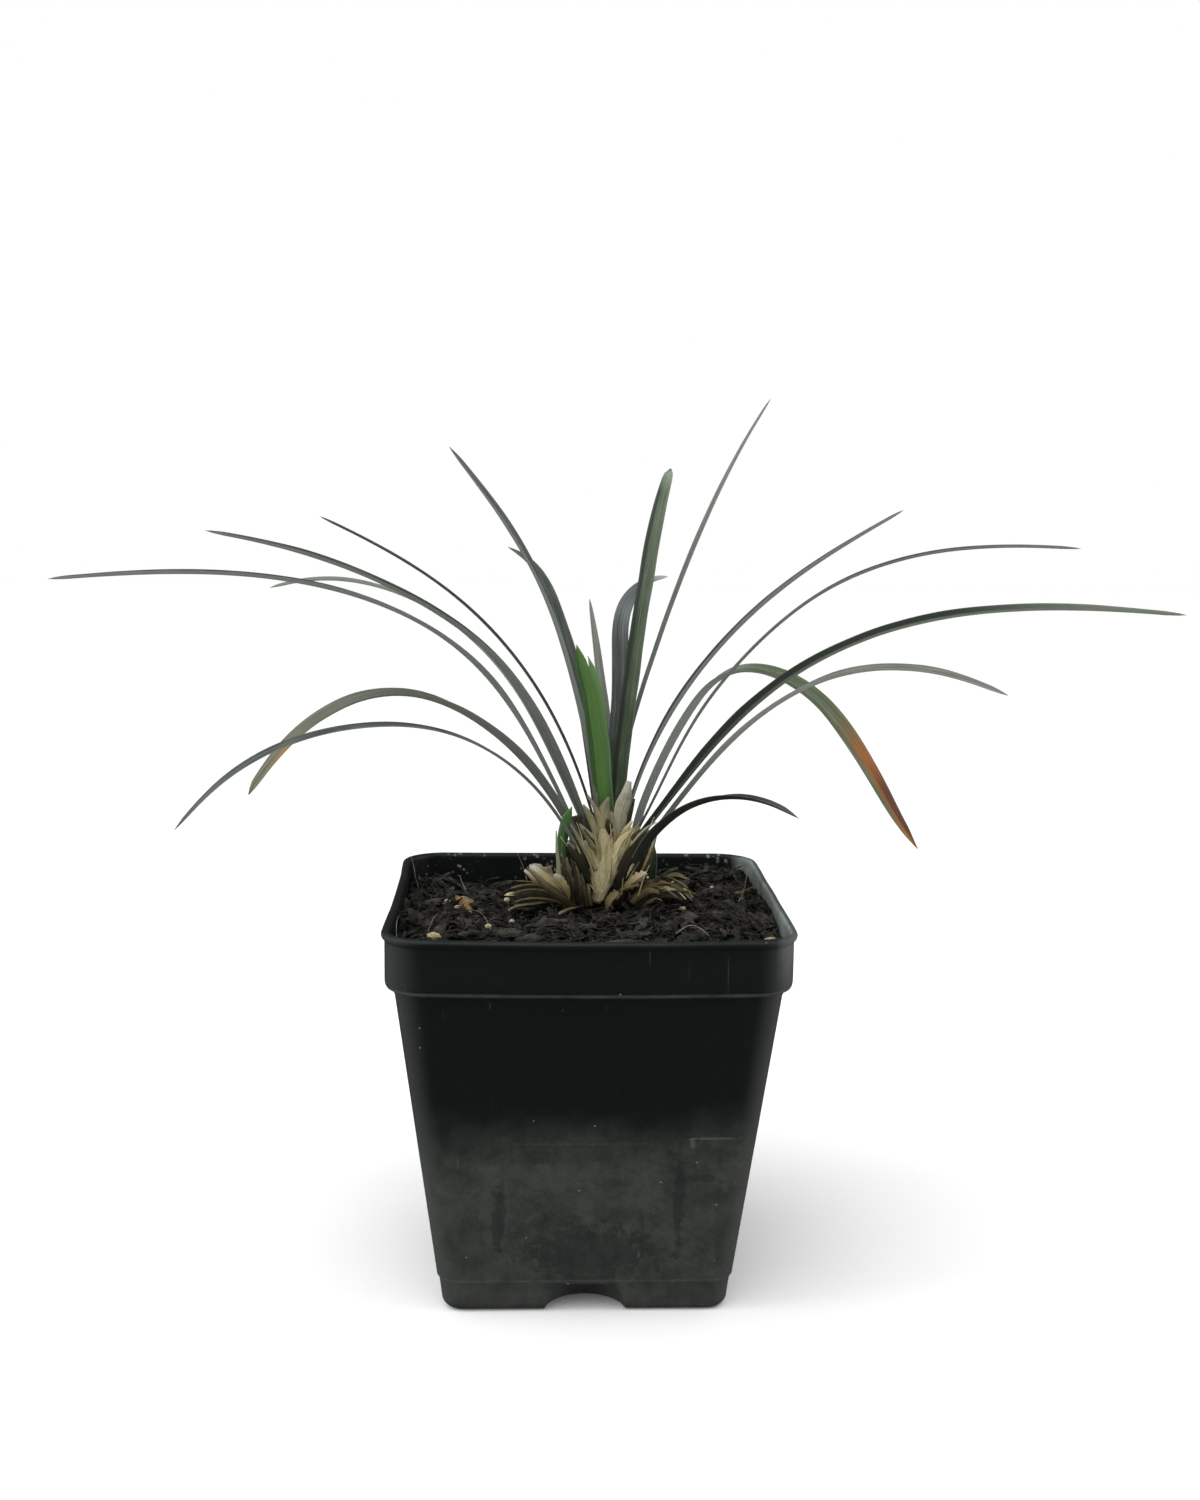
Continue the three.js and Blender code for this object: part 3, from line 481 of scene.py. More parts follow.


# Feet in mm; heading, leans from foot to tip, and roll at foot and tip in degrees; mm for the rest.
# Leans and lengths were fitted by least squares to each blade's middle line seen from the front, and a
# search moved feet, headings, leans and rolls to keep the blades apart; some were then set one by one
bladeColumns = ("foot", "heading", "lean", "length", "width", "roll", "finish")
leafRows = {
    "leaf_01": ((-0.5, 5.5, 109.5), 190, (23, 34, 67, 87, 95), 167, 4, (10, -10), "dusk", {"sheath": 13}),
    "leaf_02": ((3, 3.6, 108.5), 201, (20, 28, 53, 69, 80), 140, 5, (-15, -10), "forest", {"sheath": 11}),
    "leaf_03": ((4, 9.9, 111), 160, (16, 28, 45, 61, 68), 122, 3.6, (20, 8), "ink",
                {"fold": 0.15, "thickness": 0.6, "sheath": 12}),
    "leaf_04": ((2, 12.4, 109.5), 147, (28, 34, 59, 83, 104), 141, 4.2, (2, 15), "ash", {"sheath": 10}),
    "leaf_05": ((0.2, 1.6, 107), 204, (26, 41, 66, 114, 145), 118, 5.4, (20, -25), "sage",
                {"taper": 0.6, "tip": 0.6, "sunk": 6, "sheath": 12}),
    "leaf_06": ((-0.3, -3.2, 107), 216, (29, 51, 80, 104, 135), 135, 3.4, (-8, -14), "dusk",
                {"fold": 0.2, "thickness": 0.5, "sunk": 9, "sheath": 10}),
    "leaf_07": ((3.4, 3.5, 113), 172, (5, 12, 19, 33, 39), 110, 4.6, (29, -20), "dusk", {"sheath": 9}),
    "leaf_08": ((5.3, 7.5, 110.5), 137, (16, 11, 22, 27, 71), 88, 5, (-13, 0), "forest",
                {"baseShare": 0.85, "sheath": 9}),
    "leaf_09": ((8, 17, 113), 105, (8, 16, 26, 27, 30), 65, 2.5, (1, 0), "ash", {"sheath": 8}),
    "leaf_10": ((7.3, 14.8, 113), 56, (6, 5, 7, 7, 0, 2, 54, 78, 88), 84, 4.5, (16, 18), "slate",
                {"tip": 0.5, "sheath": 8}),
    "leaf_11": ((7.9, 7.4, 109), 45, (5, 9, 10, 14, 21), 102, 4.5, (20, 12), "moss",
                {"baseShare": 0.85, "taperFrom": 0.8, "taper": 0.4, "tip": 0.45, "sheath": 14}),
    "leaf_12": ((8.9, 10.9, 115.6), 32, (3, 19, 24, 30, 38), 124, 3, (-14, -8), "ash",
                {"fold": 0.15, "thickness": 0.45, "sheath": 9}),
    "leaf_13": ((9.6, 12.2, 108.5), 18, (12, 29, 45, 58, 63), 127, 4.4, (-17, -10), "dusk", {"sheath": 16}),
    "leaf_14": ((12.1, 3.9, 111.5), -32, (29, 27, 39, 51, 69, 84, 92), 151, 3.8, (22, 6), "dusk",
                {"fold": 0.2, "thickness": 0.55, "sheath": 8}),
    "leaf_15": ((11.7, 1.8, 109.5), -37, (38, 43, 64, 83, 92), 166, 5.2, (-3, -15), "bottle",
                {"sheath": 9}),
    "leaf_16": ((13.5, 9.7, 110.5), -29, (12, 23, 29, 41, 94, 125, 141, 147, 139), 124, 6, (-9, 35), "fern",
                {"taperFrom": 0.68, "sheath": 10}),
    "leaf_17": ((16.4, 1.9, 112), -45, (40, 44, 60, 85, 106), 123, 4.4, (10, 15), "ash",
                {"sunk": 9, "sheath": 8}),
    "leaf_18": ((9.5, -2, 100), -34, (26, 37, 61, 89, 114), 63, 4.6, (-25, 5), "night",
                {"sunk": 5, "sheath": 12}),
    "young_leaf_1": ((4.6, 3.9, 116), 238, (13, 10, 15, 23, 25), 51, 4.4, (12, 12), "young",
                     {"baseShare": 1, "taperFrom": 0.7}),
    "young_leaf_2": ((6, 5.8, 115.5), 215, (6, 5, 8, 11, 19), 46, 3.8, (16, 10), "shade",
                     {"baseShare": 1, "taperFrom": 0.7}),
    "shoot_left": ((-6.1, -4.6, 107), -11, (1, 3, 6, 15, 22), 16, 3, (-60, -61), "shoot",
                   {"baseShare": 1, "taperFrom": 0.7, "sunk": 7}),
    "shoot_right": ((18.3, 8.6, 99.5), 60, (4, 4, 5, 6, 6), 10, 2.6, (0, 0), "reed", {"sunk": 8}),
}
# Dying stretches, and painted shade and painted light on one half of a folded blade: they start at "from"
# and end at "gone", as shares of the length; "side" is where across the blade they set in, and "ragged"
# how far their ends wander
blightsAndPaintedHalves = {
    "leaf_05": [{"from": 1, "full": 1.02, "until": 1.06, "gone": 1.08, "ragged": 0.3, "colour": "#8a6b3a",
                 "side": (0.3, 0.6)}],
    "leaf_10": [{"from": 0.92, "full": 1, "colour": "#a3a79f"}],
    # the first is painted shade on one half of the folded blade
    "leaf_11": [{"from": -0.2, "full": -0.1, "side": (0.66, 0.76), "colour": "#1f2a1e", "strength": 0.85},
                {"from": 1, "full": 1.08, "colour": "#8d9a8a"}],
    "leaf_12": [{"from": 0.96, "full": 1.03, "colour": "#75706a"}],
    # the first is painted light on one half of the folded blade, the second painted shade on the other half
    "leaf_15": [{"from": 0.08, "full": 0.2, "side": (0.56, 0.64), "colour": "#6e7868", "strength": 0.75},
                {"from": -0.2, "full": -0.1, "until": 0.75, "gone": 0.95, "side": (0.32, 0.24),
                 "colour": "#1f2a21", "strength": 0.85},
                {"from": 1.03, "full": 1.1, "colour": "#77724c"}],
    "leaf_16": [{"from": 0.88, "full": 0.96, "ragged": 0.36, "colour": "#8c551f", "side": (0.2, 0.42)},
                {"from": 1.02, "full": 1.08, "ragged": 0.2, "colour": "#94672f"},
                {"from": 0.92, "full": 0.98, "until": 1.08, "gone": 1.12, "ragged": 0.22,
                 "colour": "#4a2812", "strength": 0.85, "side": (0.42, 0.6)}],
    # the first is painted shade on one half of the folded blade
    "young_leaf_1": [{"from": -0.2, "full": -0.1, "side": (0.42, 0.34), "colour": "#2c4a1e",
                      "strength": 0.75},
                     {"from": 1, "full": 1.1, "colour": "#6a683e"}],
}
# What a leaf takes where its row says nothing else: mm for sizes, shares for the rest
leafBuild = {"thickness": 0.7, "fold": 0.38, "spacing": 1.5, "ribSpacing": 0.95, "ribHeight": 0.05,
             "baseShare": 0.6, "taperFrom": 0.6, "taper": 0.78, "tip": 0.9, "sunk": 4,
             "ripple": 0.05, "rippleLength": 14, "foldChange": 0.5, "sway": 0.09, "swayLength": 11}


def readBlades(rows):
    return {name: dict(zip(bladeColumns, row), **row[-1]) for name, row in rows.items()}


def pieceName(node):  # leaf_01 gives leaf01
    first, *rest = node.split("_")
    return first + "".join(word.capitalize() for word in rest)


leaves = readBlades(leafRows)


def bladeHalfWidth(blade, share):
    taperFrom = blade["taperFrom"]
    past = max(0, share - taperFrom) / (1 - taperFrom)
    base = mix(blade["baseShare"], 1, smooth(share, 0, 0.35))
    half = blade["width"] / 2 * base * (1 - blade["taper"] * past * past)
    fromTip = (1 - share) * blade["length"]
    rounding = blade["width"] * blade["tip"]  # the last stretch rounds off
    return half * clamp(fromTip / rounding + 0.04) ** 0.55


def makeLeaves():
    for order, (name, row) in enumerate(leaves.items()):
        blade = {**leafBuild, **row}
        length, width, finish = blade["length"], blade["width"], blade["finish"]
        stations = bladeLine(blade, blade["spacing"])
        halfWidths, folds, shifts = [], [], []
        for share, *_ in stations:
            ripple = blade["ripple"] * noiseAt(share * length / blade["rippleLength"], order * 7.3, 0)
            halfWidths.append(bladeHalfWidth(blade, share) * (1 + ripple))
            foldChange = blade["foldChange"] * noiseAt(share * 5, order * 3.1, 4)
            folds.append(blade["fold"] * (1 + foldChange))
            shifts.append(blade["sway"] * noiseAt(share * length / blade["swayLength"], order * 5.7, 9))
        material = leafMaterial(name + "Skin", finish, length, width, blightsAndPaintedHalves.get(name, ()))
        piece = makeStrap(pieceName(name) + ("Blade" if name.startswith("leaf") else ""), stations,
                          halfWidths, folds, shifts, blade["thickness"],
                          round(width / blade["ribSpacing"]), blade["ribHeight"], material)
        settle(piece, "young_leaf" if finish in tenderFinishes else "leaf", name)
    print("leaves made:", len(leaves))


makeLeaves()


papers = {finish: paperMaterial(finish + "Sheath", finish) for finish in paperFinishes}

# Old leaf bases that lie on the mix round the crown
dryRows = {
    "dry_flake": ((-4.5, 1.6, 99), 197, (66, 56, 44), 13, 6.5, (-20, -30), "cream",
                  {"sunk": 5, "fold": 0.5}),
    "dry_blade_1": ((-3.6, 9, 96.4), 142, (78, 90, 96), 20, 2.6, (0, 10), "brown", {}),
    "dry_blade_2": ((-4.4, 5, 96.1), 172, (80, 90, 97), 17, 2.8, (0, -10), "straw", {}),
    "dry_blade_3": ((-3.9, 0.4, 95.8), 200, (82, 90, 96), 16, 2.4, (10, 0), "brown", {}),
    "dry_blade_4": ((0.4, -2.8, 96), 232, (82, 90, 98), 12, 2.4, (0, 15), "brown", {}),
    "dry_curl_1": ((13, 10.6, 97.6), 22, (72, 84, 112), 18, 3.2, (-20, 20), "brown", {"fold": 0.4}),
    "dry_curl_2": ((13, 2.2, 97), 6, (76, 86, 108), 17, 3.6, (20, -10), "straw", {"sunk": 2, "fold": 0.4}),
}
dryBuild = {"thickness": 0.45, "fold": 0.3, "spacing": 0.6, "ribs": 3, "ribHeight": 0.06,
            "baseShare": 0.6, "sunk": 3, "ragged": 0.45, "foldChange": 0.6, "sway": 0.3}


def raggedHalf(halfWidth, share, seed, raggedness):  # a torn margin
    tear = noiseAt(share * 9, seed * 3.7, 2.5) + 0.5 * noiseAt(share * 31, seed, 6)
    return halfWidth * (1 + raggedness * tear * min(1, share * 3 + 0.2))


def makeDryPieces():
    for order, (name, row) in enumerate(readBlades(dryRows).items()):
        blade = {**dryBuild, **row}
        stations = bladeLine(blade, blade["spacing"])
        halfWidths, folds, shifts = [], [], []
        for share, *_ in stations:
            half = blade["width"] / 2 * mix(blade["baseShare"], 1, smooth(share, 0, 0.35))
            tip = clamp((1 - share) * blade["length"] / (blade["width"] * 0.8) + 0.05) ** 0.6
            halfWidths.append(raggedHalf(half * tip, share + 0.4, order + 20, blade["ragged"]))
            folds.append(blade["fold"] * (1 + blade["foldChange"] * noiseAt(share * 4, order, 8)))
            shifts.append(blade["sway"] * noiseAt(share * 5, order * 2.2, 3))
        piece = makeStrap(pieceName(name), stations, halfWidths, folds, shifts, blade["thickness"],
                          blade["ribs"], blade["ribHeight"], papers[blade["finish"]])
        settle(piece, "dry_sheath", name)
    print("dry pieces made:", len(dryRows))


makeDryPieces()


crown = {
    "axis": (5.6, 7.2),
    "seed": 7,
    # level sections of the core: x, y, z, half-width, half-depth
    "sections": [(4, 5.5, 84, 4.4, 4.4), (4.2, 6.2, 92, 6, 6.8), (4.6, 6.8, 97, 6.8, 8.1),
                 (5.8, 7.2, 103, 7.6, 8.7), (6.8, 7.8, 108, 7.2, 8.4), (7, 8.4, 113, 5.4, 7.2),
                 (7, 8.6, 116.2, 2.2, 3.6)],
    "coreRings": 60, "coreSides": 96,
    "foot": 94,  # where the old bases leave the mix
    "baseWidths": (2.6, 4.6, 4.8, 2.6),  # of the old base below each leaf, from the mix upwards
    "wingWidths": (1.6, 3.2, 3.0, 0.6),
    "scales": 30,  # short papery scales round the sides and back
    "scaleFeet": (94, 97, 101, 105), "scaleTop": 114,
    "fuzz": 0.3,  # how ragged the papery margins are
    "strands": 34,  # hair-thin strands that split from the front
}
# Torn papery sheaths and old bases at the front: a line from foot to tip and widths, in mm,
# a finish, and how far it wraps round and how ragged it is where that isn't the usual
frontSheaths = [
    # what is left of old leaf bases, nearly black
    ([(2.8, 0.4, 96), (0.6, -0.2, 103), (-1, 0.2, 110), (-3.4, 1, 119)], (2.4, 4, 4.8, 3.6), "umber"),
    ([(1.4, -0.6, 95), (-0.6, -1.6, 102), (-2, -1.6, 108.5), (-4, -1, 115)], (2.2, 3.8, 4.2, 2), "umber"),
    ([(9.4, 1.4, 96), (12.2, 0.6, 103), (14.6, 0.6, 109), (17.4, 1, 115)], (2.6, 4.6, 4.8, 3), "umber"),
    ([(5.4, -1.4, 104), (5.6, -1.6, 110), (6, -1.4, 115), (6.4, -0.8, 120)], (5, 8, 8, 5), "umber"),
    ([(7, -2, 96), (8.4, -2.6, 99), (9.6, -2.6, 102)], (3.6, 5, 5), "umber"),
    # the lobes that stand behind the felted middle
    ([(8.4, -1.7, 109), (8.7, -2, 114.4), (8.9, -2.1, 118.3), (9.5, -1.9, 121.8), (10.3, -1.4, 125),
     (11.2, -0.7, 128.6)], (2.6, 2.8, 3.6, 3.9, 3.3, 1.6), "pale", {"wrap": 0.35, "ragged": 0.14}),
    ([(7.8, -2.4, 112.6), (7, -2.5, 117), (6.5, -2.2, 121)], (1.8, 2.1, 0.6), "lobe"),
    ([(9, -2.2, 113), (10.4, -2.6, 115.8), (12, -2.2, 118.4)], (1.8, 2, 0.7), "cream"),
    ([(3.8, -2, 110), (4.4, -2.5, 116), (4.6, -2.4, 119.8), (4.9, -2, 122), (5.9, -1.6, 124.6)],
     (2, 3, 3.4, 2.6, 0.5), "lobe", {"ragged": 0.12}),
    ([(4.9, -2.2, 110), (4.2, -2.9, 116), (3.1, -2.7, 119.8), (1.8, -2.2, 122.4), (0.2, -1.4, 125)],
     (2.6, 2.3, 1.6, 1.1, 0.6), "lobe", {"ragged": 0.12}),
    ([(3.8, -2, 109), (2, -2.6, 115.8), (0.7, -2.4, 119.4), (-0.8, -1.8, 122.6)], (2.2, 2.5, 2.2, 0.5),
     "lobe", {"ragged": 0.12}),
    ([(2.2, -2.2, 112.6), (1.2, -2.4, 116), (-0.4, -2, 120)], (0.7, 1, 0.5), "umber"),
    # the felted middle: old sheaths fused together
    ([(2.9, -2.8, 96.6), (3.8, -3.5, 101.4), (4.6, -3.9, 105.8), (5.2, -3.8, 110), (5.7, -3.2, 113.4)],
     (2, 5.6, 8.2, 10.4, 10.6), "felt", {"wrap": 0.42, "ragged": 0.07}),
    ([(3, -3.1, 97.6), (2.7, -3.8, 103.4), (2.1, -3.9, 108.4), (1.4, -3.4, 113)], (1.6, 4, 4.6, 2.2),
     "felt", {"wrap": 0.42, "ragged": 0.07}),
    ([(3.5, -3.3, 98), (4.6, -4.2, 104.4), (5, -4.2, 110), (4.4, -3.3, 116.6)], (1.8, 5, 5.6, 1.4), "felt",
     {"wrap": 0.42, "ragged": 0.07}),
    ([(4.1, -3.3, 99), (6.5, -4.1, 104.6), (8.6, -3.9, 109.8), (10.8, -3, 115.2)], (1.4, 4.4, 4.8, 1.6),
     "felt", {"wrap": 0.42, "ragged": 0.07}),
    ([(3.4, -3.4, 97), (3.4, -4, 99.6), (3.7, -4.2, 102.6)], (1.8, 3.6, 1.8), "felt"),
    ([(6.3, -2.9, 113.9), (6, -3.1, 116.4), (5.5, -2.9, 119)], (1.5, 2.3, 0.7), "umber"),
    ([(6.8, -3.9, 107), (8.5, -4, 111.4), (10.2, -3.5, 114.2), (12.3, -2.8, 116.8)], (1.8, 3, 2.2, 0.5),
     "felt", {"ragged": 0.12}),
    ([(4.6, -3.9, 107), (2.2, -4.4, 112), (0.1, -4.1, 115.2), (-1.9, -3.5, 117.8)], (2.2, 2.8, 2.2, 0.5),
     "lobe", {"ragged": 0.12}),
    ([(4, -3.9, 110.4), (1.6, -4.5, 113.8), (-0.6, -4.2, 116.6)], (0.3, 0.5, 0.3), "umber"),
    # dark band and pale margin left of the middle
    ([(0.9, -4, 100), (-0.8, -4.9, 105.4), (-2.2, -5.1, 110), (-4.2, -4.9, 115.8)], (2.2, 3.2, 3.2, 1.4),
     "umber", {"ragged": 0.1}),
    ([(2.6, -4.3, 105.6), (0.4, -5.1, 110), (-1.8, -5.5, 113.8), (-4.3, -5.8, 118.4)], (1.5, 1.6, 1.4, 0.5),
     "lobe", {"ragged": 0.12}),
    # under the lowest of the right-hand leaves
    ([(8.4, -3.9, 100.4), (10.4, -4.9, 106), (12.8, -5.1, 110.8), (15.4, -5.2, 114.2)], (3.2, 4.3, 4.4, 3),
     "umber", {"wrap": 0.3, "ragged": 0.06}),
    ([(11.2, -5.5, 112.2), (13.5, -5.8, 115.2), (15.7, -5.9, 117.4), (18, -6.1, 118.9)],
     (0.4, 0.8, 0.7, 0.3), "pale", {"ragged": 0.1}),
    # folds to the right of it
    ([(11, -2.8, 101), (13.2, -3.7, 106.4), (15, -3.6, 110), (16.7, -2.9, 113.9)], (2.6, 2.6, 2, 0.7),
     "hay"),
    ([(11.6, -3.4, 101.6), (13.4, -4, 106), (15.2, -3.9, 110.2)], (0.4, 0.7, 0.3), "umber"),
    ([(12.8, -2.9, 102), (14.6, -3.6, 107), (16.2, -3.3, 111.4)], (0.5, 0.8, 0.4), "umber"),
    ([(12.6, -1.6, 99), (15, -2, 104.6), (17.2, -1.6, 110), (18.6, -1, 115.4)], (2.4, 2.6, 1.7, 0.5),
     "brown"),
    ([(13.5, -2.7, 103.2), (15.5, -3.2, 107.6), (16.9, -3, 111.1), (18.5, -2.4, 115.6)],
     (0.9, 1.1, 0.8, 0.4), "cream", {"ragged": 0.2}),
    ([(10.4, -4.2, 101.2), (12.4, -4.9, 103), (14.2, -4.7, 104.2), (15.9, -4.2, 105)], (1.8, 2.9, 2.6, 0.8),
     "cream", {"ragged": 0.8}),
    ([(8.6, -4, 100.2), (11.2, -4.6, 101.4), (14, -4.2, 101.8)], (0.9, 2, 0.8), "golden", {"ragged": 0.8}),
    # round the foot of the left-hand shoot
    ([(-3.6, -3.4, 99), (-5, -3.8, 105.4), (-5.3, -3.6, 112.6)], (3.6, 4.2, 2.4), "umber"),
    ([(0.8, -5.2, 102.4), (-1.2, -6.1, 106.6), (-2.9, -6.9, 110), (-4.7, -7.4, 112.8)],
     (1.6, 2.9, 2.6, 0.7), "umber", {"ragged": 0.1}),
    ([(-5, -2.6, 97), (-6, -3, 103.5), (-6.6, -2.8, 109), (-7.2, -2.4, 114)], (3, 3.2, 2.2, 0.6), "brown"),
    ([(-5.9, -5.4, 97), (-6.7, -6.2, 102), (-7.1, -6.4, 107), (-7.6, -6, 111), (-7.8, -5.4, 116.4)],
     (1.2, 1.4, 1.2, 0.9, 0.4), "pale", {"ragged": 0.15}),
    ([(-4.4, -5.2, 94.6), (-5.4, -6.5, 100), (-5.8, -6.8, 105), (-6, -6.3, 110.4)], (3, 3.6, 3, 1),
     "moult"),
    # brown strands between the shoot and the dark band
    ([(-3.2, -5.2, 95.6), (-4, -6.8, 101), (-4.5, -6.9, 105.4), (-5.2, -6.3, 109.8)], (2, 2.3, 1.8, 0.7),
     "brown"),
    ([(-2, -5.2, 95.8), (-2.6, -6.7, 100.6), (-3.1, -6.8, 105), (-3.9, -6.1, 109.4)], (1.4, 1.7, 1.3, 0.5),
     "umber"),
    ([(-1, -4.8, 95.8), (-1.5, -6.2, 100.2), (-2, -6.3, 104.2), (-2.7, -5.8, 107.8)], (1.4, 1.7, 1.2, 0.5),
     "brown"),
    ([(0.2, -4.4, 95.8), (-0.4, -5.7, 99.8), (-0.9, -5.9, 103.4), (-1.4, -5.5, 106.4)],
     (1.2, 1.4, 1.1, 0.5), "moult"),
    ([(1.4, -4, 96), (0.8, -5, 99.4), (0.4, -5, 103)], (1, 1.4, 0.5), "hay"),
    ([(-3.4, -6, 97), (-3.5, -7.1, 101), (-3.9, -7.1, 104.6)], (0.3, 0.5, 0.3), "umber"),
    ([(-1.9, -5.6, 97), (-2.1, -6.7, 100.8), (-2.5, -6.8, 104)], (0.3, 0.5, 0.3), "umber"),
    ([(-0.6, -5.2, 97), (-1, -6.2, 100.4), (-1.5, -6.3, 103)], (0.3, 0.4, 0.3), "umber"),
    ([(-3.6, -6.4, 97.4), (-4.4, -7.5, 101.4), (-5.2, -7.7, 104.6), (-6.2, -7.3, 107.4)],
     (0.9, 1.7, 1.7, 0.6), "umber", {"ragged": 0.15}),
]
# Scraps of old leaf that lie against the crown's foot, given as the sheaths are
litter = [
    # the torn flake on the left and the brown rib in front of it
    ([(-3.6, -5.6, 96.8), (-6.6, -7.2, 101), (-9.2, -7.5, 103.2), (-11.8, -7.1, 105), (-14.4, -6.2, 107)],
     (2, 3.2, 3.4, 3, 1.8), "flake", {"ragged": 0.25}),
    ([(-3.6, -6.2, 97.4), (-5.4, -7.8, 101.4), (-6.8, -8.1, 103.4), (-8.2, -8, 105.6)], (1.4, 3, 3.2, 1),
     "flake", {"ragged": 0.3}),
    ([(-2, -5.6, 96.2), (-5.6, -7.8, 99.2), (-8.9, -8.4, 101.4), (-11.9, -8.1, 103.7),
     (-15.2, -7.2, 107.2)], (1.8, 2.6, 2.1, 1.1, 0.5), "brown", {"ragged": 0.15}),
    ([(-11, -7, 102.6), (-13.2, -6.9, 104), (-15.9, -6.4, 106.2)], (0.8, 1.5, 0.8), "cream"),
    # dark curled blades on the left, with pale edges
    ([(-3.6, -1.4, 95.6), (-9.4, 1.6, 98.2), (-14.8, 4.2, 98.2), (-19.4, 6.6, 96.6)], (2, 2.8, 2.2, 0.6),
     "umber", {"wrap": 0.8}),
    ([(-4.6, 1.6, 96.6), (-10, 5.4, 98.8), (-15, 8.4, 99), (-19, 11, 97.4)], (1.6, 2.6, 2.2, 0.6), "umber",
     {"wrap": 0.8}),
    ([(-6.4, 0.6, 97.4), (-11.6, 5, 99.6), (-16, 7.6, 99.2), (-19.6, 10.2, 97.6)], (0.4, 0.6, 0.5, 0.3),
     "hay"),
    ([(-5.4, -0.8, 96.8), (-10.6, 2.2, 98.9), (-15.4, 4.4, 98.6), (-20, 6.8, 96.6)], (0.5, 0.7, 0.5, 0.3),
     "hay"),
    ([(-2, -3.2, 95), (-8.4, -1.6, 96.8), (-14.4, 0.6, 96.8), (-19.2, 1.8, 95.6)], (1.4, 2.6, 2.2, 0.6),
     "umber", {"wrap": 0.8}),
    ([(-3, -3.2, 95.4), (-8.8, -1.8, 97.4), (-14.6, 0.2, 97.3), (-18.4, 1.4, 96)], (0.4, 0.7, 0.6, 0.3),
     "hay"),
    ([(-13.6, -1.8, 95.4), (-16.8, -2.6, 96.2), (-19.8, -3.8, 95.4)], (0.7, 1.2, 0.6), "hay"),
    # curled scraps on the right
    ([(12.4, -3, 96), (16.4, -0.6, 98.2), (21, 2, 98.8), (26, 0.6, 97)], (2, 3.6, 3.4, 1), "umber",
     {"wrap": 0.7}),
    ([(15, 2, 96.4), (18.6, 4.6, 98.6), (22, 6.4, 99.8), (25.2, 4.8, 99.4), (28.6, -0.6, 96.8)],
     (1.4, 2.4, 2.6, 2, 0.6), "brown", {"wrap": 0.9, "ragged": 0.3}),
    ([(24, 7, 100.2), (26.3, 4.8, 99.7), (28.4, 0.2, 97.6), (29.6, -3.2, 95.9)], (0.4, 0.8, 0.8, 0.4),
     "hay"),
    ([(22.6, 3.6, 98.2), (24.6, 2.6, 98.6), (26.6, -0.6, 97.2)], (0.3, 0.8, 0.4), "cream"),
    ([(19.6, 10.2, 97.6), (22.4, 11.4, 99.8), (25, 10.4, 99.8), (28, 8.2, 98.2)], (0.5, 0.7, 0.7, 0.3),
     "hay"),
    ([(14.4, 3.6, 97.4), (17.6, 5.8, 99.8), (20.2, 7.6, 100.4), (22.8, 9, 99.4)], (1.6, 2.4, 2, 0.6),
     "golden", {"ragged": 0.6}),
    ([(11.8, -3.8, 96.8), (14.4, -3.4, 99.4), (17, -2.6, 100.6), (19.6, -0.8, 99.2)], (1.4, 2.2, 1.8, 0.6),
     "hay", {"wrap": 0.8, "ragged": 0.6}),
    ([(13.4, -2, 96.6), (16, -0.8, 98.6), (18.6, 1.2, 99.4), (21, 2.4, 98.2)], (0.8, 1.1, 1, 0.5), "golden",
     {"ragged": 0.4}),
    ([(14.6, -1.6, 95.4), (16.4, -1.2, 96.8), (18.4, 0.4, 97.4), (20.6, 1.2, 96.4)], (0.6, 1.1, 0.9, 0.4),
     "hay"),
    ([(13, 0.2, 98), (16.6, 2.6, 99.8), (20.2, 4.6, 100.6), (23.4, 4.8, 100.2)], (0.3, 0.6, 0.5, 0.2),
     "golden"),
    ([(12.6, -2.6, 98.6), (16.2, -0.4, 100.4), (20, 0.8, 100.2), (24.4, -1, 97.8)], (0.3, 0.5, 0.5, 0.2),
     "hay"),
    ([(14.2, 5.8, 98.4), (18, 8.6, 100.6), (22, 9.8, 100.9), (26.4, 8, 99.4)], (0.3, 0.5, 0.4, 0.2),
     "golden"),
    ([(18.4, 6.6, 99.9), (21, 7.6, 101.4), (23.4, 7.2, 101.2), (25.6, 6, 100)], (0.3, 0.4, 0.4, 0.2),
     "hay"),
]


def crownSurface(turn, z):  # the point of the core at a turn about its middle and a height
    sections = crown["sections"]
    low, high = next(((a, b) for a, b in zip(sections, sections[1:]) if z <= b[2]), sections[-2:])
    x, y, _, halfWidth, halfDepth = [mix(a, b, clamp((z - low[2]) / (high[2] - low[2])))
                                     for a, b in zip(low, high)]
    angle = math.radians(turn)
    return Vector((x + halfWidth * math.cos(angle), y + halfDepth * math.sin(angle), z))


def smoothLine(points, steps):  # a Catmull-Rom line through points
    columns = list(zip(*points))
    return [tuple(leanAt(column, k / steps) for column in columns) for k in range(steps + 1)]


sheathBuild = {"spacing": 0.7, "narrowest": 0.12, "ribHeight": 0.05, "foldChange": 0.5, "sway": 0.35,
               "depth": 12}  # in mm; depth is how far below a sunk sheath its axis lies


